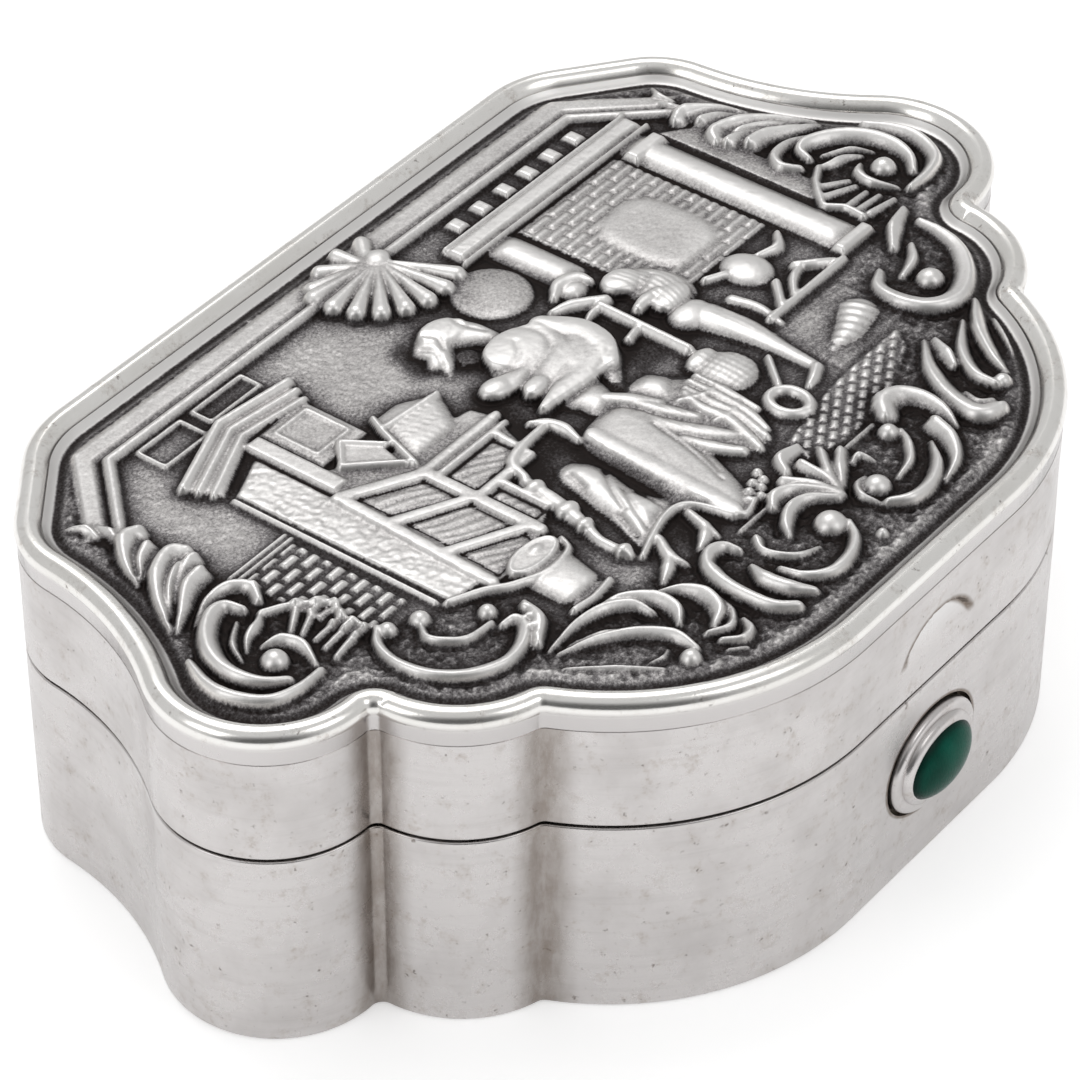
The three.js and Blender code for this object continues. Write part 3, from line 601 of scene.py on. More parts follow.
# Inner bezel: a thinner strip fitted inside the wall, standing above the seam so that the lid shuts
# over it. A round hole in front passes the button's stem.
bezel_low, bezel_high = span("inner_bezel")
BEZEL_INSET = 1.15
BEZEL = 0.6
BEZEL_ROUND = 0.22
STEM_HOLE = 1.2
INNER_BRIGHT, INNER_DULL = (0.78, 0.74, 0.66, 1), (0.52, 0.47, 0.40, 1)
inner_silver = Finish("inner_silver", Metallic=1.0)
wear_silver(inner_silver, INNER_BRIGHT, INNER_DULL, 0.9)
section = rounded_strip(BEZEL_INSET, BEZEL_INSET + BEZEL, bezel_low[2], bezel_high[2], 0, BEZEL_ROUND, 8)
points, faces = swept(section)
bezel = piece("inner_bezel_strip", points, faces, inner_silver, "body", "inner_silver", "inner_bezel")
carve(bezel, bar(STEM_HOLE, DRILL_LENGTH, (0, front_y + BEZEL_INSET, button_axis[2]), 1))


# Hinge: five drawn tubes on one pin, let into the back walls. The outer and middle tubes are soldered
# to the body and the other two to the lid, each with a fillet of solder in its groove.
BORE = 0.7
TUBE_ROUND = 0.12
FILLET_REACH = GROOVE + 0.05
FILLET_ROOT = KNUCKLE - 0.06
FILLET_TURN = {"body": (188.0, 254.0), "lid": (106.0, 172.0)}


def turned(profile, axis, middle, stretch=1.0, turn=(0.0, 360.0), sides=64):
    """A closed profile of (radius, distance along the axis) points turned about x or y, oval where stretched.
    A profile that starts and ends on the axis is closed by a point there, and a part turn by flat faces."""
    radius, along = np.asarray(profile, float).T
    whole = turn[1] - turn[0] >= 360.0
    angle = np.radians(np.linspace(*turn, sides, endpoint=not whole))[:, None]
    first, second = radius * np.cos(angle), radius * np.sin(angle)
    along = np.broadcast_to(along, first.shape)
    if axis == "x":
        points = np.stack([along, first, second], -1)
    else:
        points = np.stack([first * stretch, along, second], -1)
    points = points.reshape(-1, 3) + np.asarray(middle)
    ring = len(radius)
    solid = radius[0] == 0 and radius[-1] == 0
    if not whole:
        return points, tube(sides, ring)
    faces = lattice(sides, ring, True, not solid)
    if solid:
        index = np.arange(len(points))
        index[::ring] = 0
        index[ring - 1::ring] = ring - 1
        kept, index = np.unique(index, return_inverse=True)
        return points[kept], [list(dict.fromkeys(face)) for face in index[faces].tolist()]
    return points, faces.tolist()


def knuckle_profile(half):
    """Section of a tube with rounded ends, as (radius, distance) points."""
    arc = np.radians(np.linspace(0, 90, 5))
    edge = np.stack([KNUCKLE - TUBE_ROUND + TUBE_ROUND * np.cos(arc),
                     half - TUBE_ROUND + TUBE_ROUND * np.sin(arc)], 1)
    return np.concatenate([edge, [[BORE, half], [BORE, -half]], edge[::-1] * [1, -1]])


TUBE_BRIGHT, TUBE_DULL = (0.70, 0.67, 0.62, 1), (0.42, 0.38, 0.33, 1)
KNUCKLES = [("body", "left"), ("lid", "left"), ("body", "middle"), ("lid", "right"), ("body", "right")]
tube_finish = Finish("hinge_silver", Metallic=1.0)
wear_silver(tube_finish, TUBE_BRIGHT, TUBE_DULL, 0.8)
for owner, place in KNUCKLES:
    node = f"{owner}_knuckle_{place}"
    low, high = span(node)
    half = (high[0] - low[0]) / 2
    centre = (low + high) / 2
    points, faces = turned(knuckle_profile(half), "x", centre)
    ledge = half - TUBE_ROUND
    fillet = [(FILLET_ROOT, -ledge), (FILLET_REACH, -ledge), (FILLET_REACH, ledge), (FILLET_ROOT, ledge)]
    web, web_faces = turned(fillet, "x", centre, turn=FILLET_TURN[owner], sides=12)
    faces = turned_over(faces + [[i + len(points) for i in face] for face in web_faces])
    points = np.concatenate([points, web])
    piece(f"{node}_tube", points, faces, tube_finish, owner, "silver", node)

PIN = (pin_high[2] - pin_low[2]) / 2
PIN_DOME = 0.18
dome = np.radians(np.linspace(0, 90, 7))
head = np.stack([PIN * np.cos(dome).round(9), hinge_length / 2 - PIN_DOME + PIN_DOME * np.sin(dome)], 1)
BLUE_CAST, STRAW_CAST, RUST = (0.30, 0.31, 0.34, 1), (0.38, 0.34, 0.29, 1), (0.16, 0.08, 0.05, 1)
steel = Finish("spring_steel", Metallic=1.0)


def blue_steel(finish):
    """Tempered steel: grey with a straw and blue cast, drawn along its length, with a few rust spots."""
    cast = finish.noise(2.5 * MM, 3, 0.5)
    grain = finish.noise(0.3 * MM, 3, 0.6, stretch=(1.0, 0.2, 0.2))
    spots = finish.noise(0.8 * MM, 4, 0.7)
    tint = finish.mix(cast.between(0.4, 0.65), BLUE_CAST, STRAW_CAST)
    finish.feed(Base_Color=finish.mix(spots.between(0.66, 0.75) * 0.8, tint, RUST))
    finish.feed(Roughness=0.26 + grain * 0.2, Normal=finish.bump(grain, 0.006 * MM, 0.6))


blue_steel(steel)
pin_profile = np.concatenate([head[::-1], head * [1, -1]])
points, faces = turned(pin_profile, "x", hinge, sides=32)
piece("hinge_pin_wire", points, faces, steel, "body", "spring_steel", "hinge_pin", sharp=60)


# Catch: a leaf of spring steel, bent up from a foot that two rivets hold on the base. Its hook springs
# forward over the lid's keeper, and the button's washer pushes it back.
leaf_low, leaf_high = span("catch_leaf")
foot_low, foot_high = span("catch_foot")
LEAF = leaf_high[1] - leaf_low[1]
LEAF_SOFT = 0.06
LEAF_CORNER = 0.5
BEND = 0.55
FOOT_STEPS, RISE_STEPS = 10, 24
STEEL_SHARP = 50.0
leaf_y = (leaf_low[1] + leaf_high[1]) / 2
foot_z = (foot_low[2] + foot_high[2]) / 2


def leaf_strip():
    """A strip of constant thickness along the foot, round a quarter bend and up the leaf, with its corners
    rounded in plan at both ends."""
    turn = np.radians(np.linspace(-90, -180, 9))
    bend = np.stack([leaf_y + BEND + BEND * np.cos(turn), foot_z + BEND + BEND * np.sin(turn)], 1)
    run = np.linspace(foot_high[1], leaf_y + BEND + 0.1, FOOT_STEPS)
    foot = np.stack([run, np.full(FOOT_STEPS, foot_z)], 1)
    rise = np.linspace(foot_z + BEND + 0.1, leaf_high[2], RISE_STEPS)
    path = np.concatenate([foot, bend, np.stack([np.full(RISE_STEPS, leaf_y), rise], 1)])
    run = np.gradient(path, axis=0)
    run /= np.linalg.norm(run, axis=1, keepdims=True)
    side = np.stack([run[:, 1], -run[:, 0]], 1)
    half = (leaf_high[0] - leaf_low[0]) / 2
    length = np.concatenate([[0], np.cumsum(np.linalg.norm(np.diff(path, axis=0), axis=1))])
    end = np.minimum(length, length[-1] - length)
    width = half - LEAF_CORNER * np.clip(1 - end / LEAF_CORNER, 0, 1) ** 2
    rows = []
    for across, up in ((-1, -1), (1, -1), (1, 1), (-1, 1)):
        flank = (across, up * (1 - 2 * LEAF_SOFT / LEAF))
        face = (across * (1 - LEAF_SOFT / half), up)
        for x, z in (flank, face)[:: across * up]:
            middle = path + side * (z * LEAF / 2)
            rows.append(np.column_stack([x * width, middle]))
    return np.stack(rows, 1)


points = leaf_strip()
leaf = shape("catch_spring", points, tube(*points.shape[:2]), steel, STEEL_SHARP)
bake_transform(leaf)
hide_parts("catch_leaf", "catch_foot")

hook_low, hook_high = span("catch_hook")
HOOK_ROUND, HOOK_UNDER = 0.28, 0.112
HOOK_EDGE, HOOK_SHRINK = 0.08, 0.94


def hook_nose():
    """The hook's side outline, with a rounded nose and a sloping top, carried across its width."""
    x0, y0, z0 = hook_low
    x1, y1, z1 = hook_high
    arc = np.radians(np.linspace(180, 270, 7))
    under = np.stack([y0 + HOOK_UNDER * (1 + np.cos(arc)), z0 + HOOK_UNDER * (1 + np.sin(arc))], 1)
    arc = np.radians(np.linspace(90, 180, 7))
    over = np.stack([y0 + HOOK_ROUND * (1 + np.cos(arc)), z1 - HOOK_ROUND * (1 - np.sin(arc))], 1)
    outline = np.concatenate([under, [[y1, z0], [y1, z1]], over])
    across = np.array([x0, x0 + HOOK_EDGE, x1 - HOOK_EDGE, x1])
    shrink = np.array([HOOK_SHRINK, 1.0, 1.0, HOOK_SHRINK])
    middle = outline.mean(0)
    section = middle + (outline - middle) * shrink[:, None, None]
    x = np.broadcast_to(across[:, None, None], (len(across), len(outline), 1))
    return np.concatenate([x, section], -1)


points = hook_nose()
faces = tube(*points.shape[:2])
piece("catch_hook_nose", points, faces, steel, "catch", "spring_steel", "catch_hook", sharp=STEEL_SHARP)

RIVET_SHANK = 0.35
rivet_arc = np.radians(np.linspace(0, 84, 9))[:, None]
rivet_spin = np.radians(np.linspace(0, 360, 32, endpoint=False))
for place in ("left", "right"):
    node = f"catch_rivet_{place}"
    low, high = span(node)
    centre = (low + high) / 2
    radius = (high[0] - low[0]) / 2 * np.cos(rivet_arc)
    rise = low[2] + (high[2] - low[2]) * (RIVET_SHANK + (1 - RIVET_SHANK) * np.sin(rivet_arc))
    x, y = radius * np.cos(rivet_spin), radius * np.sin(rivet_spin)
    cap = np.stack([x, y, np.broadcast_to(rise, x.shape)], -1)
    cap = np.concatenate([cap[:1] * [1, 1, 0] + [0, 0, low[2]], cap]) + [centre[0], centre[1], 0]
    piece(f"{node}_head", cap, tube(*cap.shape[:2]), tube_finish, "body", "inner_silver", node)


# Lid wall: a second bent strip of the same outline. A thumbnail nick, cut sloping inwards to a round
# upper edge, lies over the button.
lid_bottom, lid_top = (corner[2] for corner in span("lid_wall"))
LID_WAVE_DEPTH = 0.014
NICK_WIDTH, NICK_SAG, NICK_RISE, NICK_DEPTH = 6.4, 2.1, 2.4, 0.6
# The last of these is the width of the painted shade along the nick's round edge.
NICK_SOFT, NICK_SHADE_LINE = 0.12, 0.42
section = rounded_strip(0, WALL, lid_bottom, lid_top, EDGE_ROUND, 0, 64)
points, faces = swept(section)
outer = np.asarray(section)[:, 0] < 0.01
waves = hand_wave(points, lid_bottom, lid_top, LID_WAVE_DEPTH) * outer
nick_radius = ((NICK_WIDTH / 2) ** 2 + NICK_SAG**2) / (2 * NICK_SAG)
nick_base = lid_bottom + NICK_RISE
up = points[..., 2] - lid_bottom - NICK_RISE
within = nick_radius - np.hypot(points[..., 0], up - NICK_SAG + nick_radius)
edge = np.clip(within / NICK_SOFT + 0.5, 0, 1)
slope = np.clip(up, 0, NICK_SAG) * NICK_DEPTH / NICK_SAG
front_side = (points[..., 1] < 0) & (np.abs(points[..., 0]) < NICK_WIDTH)
waves += outer * front_side * slope * edge * edge * (3 - 2 * edge)
points[..., :2] += waves[..., None] * INWARD[:, None, :]
nick_level = nick_base + NICK_SAG - nick_radius
# Painted shade along the nick's round edge, and a painted highlight inside the nick.
paint_shade_line(silver, wear_and_shade, nick_level, nick_radius, NICK_SHADE_LINE, floor=nick_base, brightening=0.5)
lid_wall = piece("lid_wall_strip", points, faces, silver, "lid", "silver", "lid_wall")
carve(lid_wall, hinge_groove)


# Lining and keeper: a plain sheet closes the back of the stamped panel inside the lid, and a small ledge
# soldered inside the front wall takes the catch.
lining_bottom, lining_top = (corner[2] for corner in span("lid_lining"))
LINING_INSET, LINING_EDGE = 1.15, 0.1
lining_levels = [
    (LINING_INSET + LINING_EDGE, lining_bottom), (LINING_INSET, lining_bottom + LINING_EDGE),
    (LINING_INSET, lining_top),
]
piece("lid_lining_sheet", *plate(lining_levels), inner_silver, "lid", "inner_silver", "lid_lining")
frame["nodes"]["lid_keeper"].material_slots[0].material = inner_silver.owner


# Rim: a drawn bead soldered on top of the lid wall, a little proud of it, which holds the panel's edge
# and takes the hardest polish of the box.
rim_foot, rim_top = (corner[2] for corner in span("lid_rim"))
RIM_WIDTH, RIM_PROUD, RIM_INNER_DROP = 1.42, 0.12, 0.64
FOOT_LINE = 0.025
POLISH_BRIGHT, POLISH_DULL = (0.90, 0.885, 0.86, 1), (0.80, 0.78, 0.745, 1)
crest = (RIM_WIDTH - RIM_PROUD) / 2
belly = rim_top - crest - RIM_PROUD
rise = np.radians(np.linspace(0, 90, 13))
fall = np.linspace(0, 1, 9)[1:]
outer_arc = np.stack([crest - (crest + RIM_PROUD) * np.cos(rise),
                      belly + (rim_top - belly) * np.sin(rise)], 1)
inner_arc = np.stack([crest + (RIM_WIDTH - crest) * fall, rim_top - RIM_INNER_DROP * fall**2.1], 1)
neck = [
    (RIM_WIDTH, rim_foot), (FOOT_LINE, rim_foot), (FOOT_LINE, rim_foot + 0.06), (0, rim_foot + 0.12),
    (0, belly - 0.35), (-RIM_PROUD * 0.35, belly - 0.22),
]
bright_silver = Finish("polished_silver", Metallic=1.0)
polished = wear_silver(bright_silver, POLISH_BRIGHT, POLISH_DULL, 0.0)
shoulder = bright_silver.along("Z").between((belly - 0.5) * MM, (belly + 0.1) * MM)
bright_silver.feed(Base_Color=bright_silver.mix(shoulder, SILVER, polished))
points, faces = swept(np.concatenate([neck, outer_arc, inner_arc])[::-1])
piece("lid_rim_bead", points, faces, bright_silver, "lid", "bright_silver", "lid_rim", sharp=55)


# Relief panel: a thin sheet stamped from a cut steel die and chased by hand, then darkened and rubbed
# bright on its high points. Scrolls and acanthus frame a room with a desk, a hearth and two figures.
GRID = 0.075
GROUND = 20.92
GROOVE_FLOOR = 20.74
COVE_TOP = 21.22
COVE_WIDTH = 0.68
PANEL_EDGE, STEP_EDGE, FIELD_EDGE, FORM_EDGE = 1.37, 2.1, 2.4, 2.45
LIP_INSET, LIP_HEIGHT = 2.95, 0.10
panel_half_x, panel_half_y = (wall_high - wall_low)[:2] / 2


def inset_depth(x, y):
    """How far points lie inside the outline, and the inward normals there: the least distance to its arcs
    and straights, each within its own sector."""
    side = np.where(x < 0, -1.0, 1.0)
    x = np.abs(x)
    depth = np.full(x.shape, 99.0)
    inward = np.zeros((2, *x.shape))

    def take(valid, signed, nx, ny):
        nearer = valid & (np.abs(signed) < np.abs(depth))
        depth[nearer] = signed[nearer]
        inward[0][nearer] = np.broadcast_to(nx, x.shape)[nearer]
        inward[1][nearer] = np.broadcast_to(ny, x.shape)[nearer]

    for (cx, cy, radius), hollow, start, sweep in PLAN:
        dx, dy = x - cx, y - cy
        away = np.hypot(dx, dy) + 1e-9
        turn = ((np.arctan2(dy, dx) - start) * np.sign(sweep)) % (2 * np.pi)
        sign = -1.0 if hollow else 1.0
        take(turn <= abs(sweep) + 1e-6, sign * (radius - away), -sign * dx / away, -sign * dy / away)
    (sx, sy, sr), _, start, sweep = PLAN[-2]
    kx, ky, _ = PLAN[-1][0]
    cos, sin = math.cos(start + sweep), math.sin(start + sweep)
    along = (sx - x) * sin + (y - sy) * cos
    chamfered = (along >= 0) & (along <= (sx - kx) * sin + (ky - sy) * cos)
    take(chamfered, sr - (x - sx) * cos - (y - sy) * sin, -cos, -sin)
    take(x <= PLAN[0][0][0], y + panel_half_y, 0.0, 1.0)
    take(x <= kx, panel_half_y - y, 0.0, -1.0)
    return depth, inward[0] * side, inward[1]


CURVE_STEPS = 9


def smooth_line(points):
    """A Catmull-Rom curve through the points."""
    p = np.asarray(points, float)
    if len(p) == 2:
        return p
    p = np.concatenate([[2 * p[0] - p[1]], p, [2 * p[-1] - p[-2]]])
    t = np.linspace(0, 1, CURVE_STEPS, endpoint=False)[:, None]
    spans = []
    for a, b, c, d in zip(p[:-3], p[1:-2], p[2:-1], p[3:]):
        spans.append(b + 0.5 * t * (c - a + t * (2 * a - 5 * b + 4 * c - d + t * (3 * (b - c) + d - a))))
    return np.concatenate([*spans, p[-2:-1]])


def soften(field, width):
    """Gaussian blur of a field over a width in millimetres, along each axis in turn."""
    sigma = width / GRID
    reach = int(3 * sigma + 1)
    weight = np.exp(-0.5 * (np.arange(-reach, reach + 1) / sigma) ** 2)
    weight /= weight.sum()
    for axis in (0, 1):
        pad = [(reach, reach) if a == axis else (0, 0) for a in (0, 1)]
        wide = np.pad(field, pad, mode="edge")
        size = field.shape[axis]
        field = sum(w * np.take(wide, range(k, k + size), axis) for k, w in enumerate(weight))
    return field


def ease(t):
    """Smooth step from 0 to 1."""
    t = np.clip(t, 0, 1)
    return t * t * (3 - 2 * t)


def off_segment(x, y, a, b):
    """How far along a segment the nearest point to x and y lies, from 0 to 1, and the distance to it."""
    step = b - a
    share = np.clip(((x - a[0]) * step[0] + (y - a[1]) * step[1]) / (step @ step + 1e-12), 0, 1)
    return share, np.hypot(x - a[0] - share * step[0], y - a[1] - share * step[1])


# The second is how softly painted shade fades out at a polygon's edge.
SLAB_SOFT, PAINTED_SHADING_SOFT, TALLEST = 0.32, 0.9, 0.78
MOAT_WIDTH, MARGIN = 0.28, 0.4


class Chasing:
    """Heights over the panel's ground, in millimetres, on a square grid. Each call presses one form up, and
    a fine outline down around it."""

    def __init__(self):
        self.xs = np.arange(-panel_half_x, panel_half_x + GRID, GRID)
        self.ys = np.arange(-panel_half_y, panel_half_y + GRID, GRID)
        self.x, self.y = np.meshgrid(self.xs, self.ys, indexing="ij")
        self.form = np.full(self.x.shape, -1.0)
        self.moat = np.zeros(self.x.shape)
        # Painted shade over the rubbed tone, lighter where negative.
        self.tarnish = np.zeros(self.x.shape)

    def patch(self, points, margin):
        low, high = np.min(points, 0) - margin, np.max(points, 0) + margin
        i = slice(*np.searchsorted(self.xs, (low[0], high[0])))
        j = slice(*np.searchsorted(self.ys, (low[1], high[1])))
        return i, j

    def press(self, where, distance, width, height):
        """Raises a form where distance is below 1, in units of its own width, with an outline outside."""
        inside = distance < 1
        self.form[where] = np.where(inside, np.maximum(self.form[where], height), self.form[where])
        outside = np.clip(1 - (distance - 1) * width / MOAT_WIDTH, 0, 1) * ~inside
        self.moat[where] = np.maximum(self.moat[where], outside)

    def strand(self, points, width, height=None, base=0.0, round_=0.8, vein=0.0, lean=0.0):
        """A round strand along a smooth curve, as wide each side as width, which may taper through several
        values. Its height falls across as a power of 1 less the squared distance, less a hollow vein, and its
        crest leans to the outer side of the bend."""
        line = smooth_line(points)
        stops = np.atleast_1d(np.asarray(width, float))
        widths = np.interp(np.linspace(0, 1, len(line)), np.linspace(0, 1, len(stops)), stops)
        full = widths.max()
        where = self.patch(line, full + MARGIN)
        x, y = self.x[where], self.y[where]
        nearest = np.full(x.shape, 9.0)
        local = np.full(x.shape, full)
        side = np.zeros(x.shape)
        for a, b, wa, wb in zip(line[:-1], line[1:], widths[:-1], widths[1:]):
            share, gap = off_segment(x, y, a, b)
            w = wa + share * (wb - wa)
            gap = gap / w
            left = np.sign((y - a[1]) * (b[0] - a[0]) - (x - a[0]) * (b[1] - a[1]))
            local = np.where(gap < nearest, w, local)
            side = np.where(gap < nearest, left, side)
            nearest = np.minimum(nearest, gap)
        steps = np.diff(line, axis=0)
        bend = np.sign(np.sum(steps[:-1, 0] * steps[1:, 1] - steps[:-1, 1] * steps[1:, 0]))
        tall = (height or min(0.20 + 0.85 * full, TALLEST)) * (local / full) ** 0.6
        bulge = np.clip(1 - nearest**2, 0, 1) ** round_ * (1 - vein * np.exp(-((nearest / 0.33) ** 2)))
        bulge *= 1 - lean * bend * side * nearest
        self.press(where, nearest, local, base + tall * bulge)

    def score(self, points, width, depth):
        """A soft crease cut along a curve into the forms already there."""
        line = smooth_line(points)
        where = self.patch(line, 3 * width)
        x, y = self.x[where], self.y[where]
        gap = np.full(x.shape, 9.0)
        for a, b in zip(line[:-1], line[1:]):
            gap = np.minimum(gap, off_segment(x, y, a, b)[1])
        self.form[where] -= depth * np.exp(-((gap / width) ** 2)) * (self.form[where] > 0.1)

    def boss(self, x, y, rx, ry=None, height=None, turn=0.0, base=0.0, round_=0.6):
        """A round or oval dome, turned by an angle in degrees."""
        ry = ry or rx
        where = self.patch([(x, y)], max(rx, ry) + MARGIN)
        c, s = math.cos(math.radians(turn)), math.sin(math.radians(turn))
        u = (self.x[where] - x) * c + (self.y[where] - y) * s
        v = (self.y[where] - y) * c - (self.x[where] - x) * s
        away = np.hypot(u / rx, v / ry)
        tall = height or 0.25 + 0.6 * min(rx, ry)
        self.press(where, away, min(rx, ry), base + tall * np.clip(1 - away**2, 0, 1) ** round_)

    def inside(self, points, where):
        """Distance inside a polygon from its nearest edge, negative outside it."""
        x, y = self.x[where], self.y[where]
        p = np.asarray(points, float)
        gap = np.full(x.shape, 99.0)
        odd = np.zeros(x.shape, bool)
        for a, b in zip(p, np.roll(p, -1, 0)):
            gap = np.minimum(gap, off_segment(x, y, a, b)[1])
            if a[1] != b[1]:
                crosses = (a[1] > y) != (b[1] > y)
                odd ^= crosses & (x < a[0] + (y - a[1]) * (b[0] - a[0]) / (b[1] - a[1]))
        return np.where(odd, gap, -gap)

    def slab(self, points, height, bevel=0.18, base=0.0, crown=0.0):
        """A flat form with a polygon outline and sloping edges, crowned towards its middle."""
        where = self.patch(points, MARGIN)
        depth = self.inside(points, where)
        tall = height * ease(depth / bevel) + crown * np.sqrt(np.clip(depth, 0, None))
        tall = base + (soften(tall, SLAB_SOFT) if crown else tall)
        self.press(where, np.where(depth > 0, 0.5, 1 - depth), 1.0, tall)

    def dull(self, points, amount):
        """Paints shade over a polygon with soft edges by an amount, or paints it lighter where that is
        negative.
        """
        where = self.patch(points, PAINTED_SHADING_SOFT)
        depth = self.inside(points, where)
        self.tarnish[where] += amount * ease(0.5 + depth / PAINTED_SHADING_SOFT)

    def work(self, points, pattern):
        """Adds a pattern of x and y over what stands inside a polygon."""
        where = self.patch(points, 0.1)
        depth = self.inside(points, where)
        lift = pattern(self.x[where], self.y[where]) * ease(depth / 0.15)
        self.form[where] = np.maximum(self.form[where], np.where(depth > 0, 0.0, -1.0)) + lift

    def strands(self, rows, *how, **named):
        """A strand for each row of points and width, all made alike."""
        for points, width in rows:
            self.strand(points, width, *how, **named)

    def scores(self, lines, width, depth):
        """A crease along each line."""
        for points in lines:
            self.score(points, width, depth)

    def edges(self, lines, width, height, **named):
        """A strand of one width and height along each line."""
        for points in lines:
            self.strand(points, width, height, **named)

    def domes(self, places, **named):
        """A round dome at each place, given as x, y and radius."""
        for x, y, radius in places:
            self.boss(x, y, radius, **named)


chasing = Chasing()
EAR_BROAD = 1.2


def acanthus_ear(side):
    """The scroll in an ear, the ribbed fan beside it and the leaves that climb the flank."""
    def put(points):
        return [(side * x, y) for x, y in points]

    def broad(rows):
        return [(put(points), np.multiply(width, EAR_BROAD)) for points, width in rows]

    scrolls = [
        ([(-24.5, 3.8), (-24.0, 4.8), (-24.7, 5.7), (-26.2, 5.8), (-28.0, 5.1)],
         (0.3, 0.42, 0.4, 0.3, 0.12)),
        ([(-25.6, 3.9), (-26.0, 4.8), (-27.0, 4.8), (-28.4, 3.9), (-29.4, 2.5), (-29.7, 1.0), (-29.3, -0.5),
          (-28.3, -1.5)], (0.3, 0.5, 0.58, 0.52, 0.3)),
        ([(-27.1, 1.3), (-26.2, 0.8), (-25.9, -0.3), (-26.5, -1.8)], (0.16, 0.4, 0.4, 0.14)),
        ([(-28.6, 1.4), (-27.9, 2.6), (-26.4, 3.6)], (0.12, 0.24, 0.14)),
        ([(-27.9, 1.7), (-27.0, 2.3), (-25.9, 2.6), (-25.2, 3.0)], (0.12, 0.34, 0.2)),
        ([(-30.4, 3.4), (-31.1, 1.6), (-31.1, 0.0), (-30.2, -1.7), (-28.6, -2.3), (-26.8, -2.3)],
         (0.3, 0.5, 0.46, 0.3)),
    ]
    chasing.strands(broad(scrolls), lean=0.4)
    chasing.boss(side * -27.6, 0.05, 0.85, height=0.8)
    fan = [(-25.2, 3.0), (-24.1, 2.4), (-23.4, 1.8), (-22.9, 1.3), (-22.3, 0.6), (-22.6, 0.0),
           (-22.9, -0.6), (-22.8, -1.8)]
    chasing.strand(put(fan), 0.34, 0.5)
    ribs = [
        ((-25.3, 0.9), (-23.8, 1.8)), ((-25.1, 0.3), (-23.1, 1.1)), ((-25.0, -0.5), (-23.1, -0.5)),
        ((-25.2, -1.3), (-23.2, -1.2)), ((-25.4, -2.2), (-23.3, -1.9)),
    ]
    chasing.edges(map(put, ribs), (0.24, 0.36), 0.42)
    leaves = [
        ([(-28.9, 5.5), (-27.3, 6.4), (-25.9, 7.2), (-24.8, 7.4)], (0.14, 0.42, 0.56, 0.58)),
        ([(-28.7, 6.3), (-27.0, 7.6), (-25.4, 8.4), (-24.1, 8.5)], (0.14, 0.44, 0.56, 0.5)),
        ([(-29.0, 5.9), (-27.5, 7.8), (-26.0, 9.1), (-24.5, 9.7), (-23.9, 9.3)],
         (0.16, 0.5, 0.74, 0.7, 0.5)),
        ([(-26.9, 9.7), (-25.8, 10.6), (-24.8, 11.0)], (0.14, 0.4, 0.52)),
        ([(-27.3, 9.6), (-26.3, 11.1), (-25.0, 12.3), (-24.2, 12.3)], (0.16, 0.5, 0.72, 0.56)),
        ([(-25.5, 12.8), (-25.1, 13.6), (-25.1, 14.5)], (0.16, 0.36, 0.14)),
        ([(-25.7, 13.8), (-25.6, 14.8), (-26.1, 15.7)], (0.12, 0.3, 0.1)),
    ]
    chasing.strands(broad(leaves), vein=0.1, lean=0.5)
    midribs = [
        [(-28.5, 6.3), (-26.7, 8.3), (-24.7, 9.4)], [(-28.0, 6.4), (-26.4, 7.9), (-24.5, 8.9)],
        [(-26.8, 10.2), (-25.7, 11.4), (-24.5, 12.0)],
    ]
    chasing.scores(map(put, midribs), 0.13, 0.2)


for side in (1, -1):
    acanthus_ear(side)

# Scrolls of the two lobes
lobes = [
    ([(-22.4, -2.5), (-23.4, -3.4), (-23.9, -4.9), (-23.7, -6.6), (-22.9, -8.0), (-21.8, -8.9),
      (-20.4, -9.4), (-19.0, -9.2), (-17.8, -8.5), (-17.5, -7.7), (-18.3, -7.5)],
     (0.3, 0.5, 0.56, 0.5, 0.28), 0.1),
    ([(-20.9, -4.2), (-21.4, -5.0), (-21.1, -5.9), (-20.2, -6.7), (-18.5, -6.9)], (0.26, 0.4, 0.28), 0.0),
    ([(-16.4, -7.4), (-17.0, -8.7), (-18.4, -9.8)], (0.4, 0.66, 0.4), 0.0),
    ([(19.0, -5.6), (17.8, -6.4), (17.5, -8.0), (18.1, -9.6), (19.6, -10.3), (21.6, -9.6), (23.4, -8.0),
      (24.2, -6.2), (24.4, -4.6)], (0.35, 0.75, 0.85, 0.6, 0.35), 0.15),
    ([(19.4, -6.8), (21.0, -6.4), (22.2, -5.5)], (0.3, 0.45, 0.3), 0.1),
    ([(21.4, -4.9), (23.0, -3.9), (24.8, -3.3)], (0.4, 0.62, 0.35), 0.1),
]
for points, width, vein in lobes:
    chasing.strand(points, width, vein=vein, lean=0.4)
chasing.domes([(-22.2, -3.0, 0.6), (-20.5, -3.8, 0.66), (-17.9, -6.2, 0.6), (20.2, -8.2, 0.9)])
beads = [(-16.3 - 1.9 * t, -7.2 - 2.6 * t, 0.26) for t in (0.15, 0.4, 0.65, 0.9)]
chasing.domes(beads, base=0.46, height=0.22)

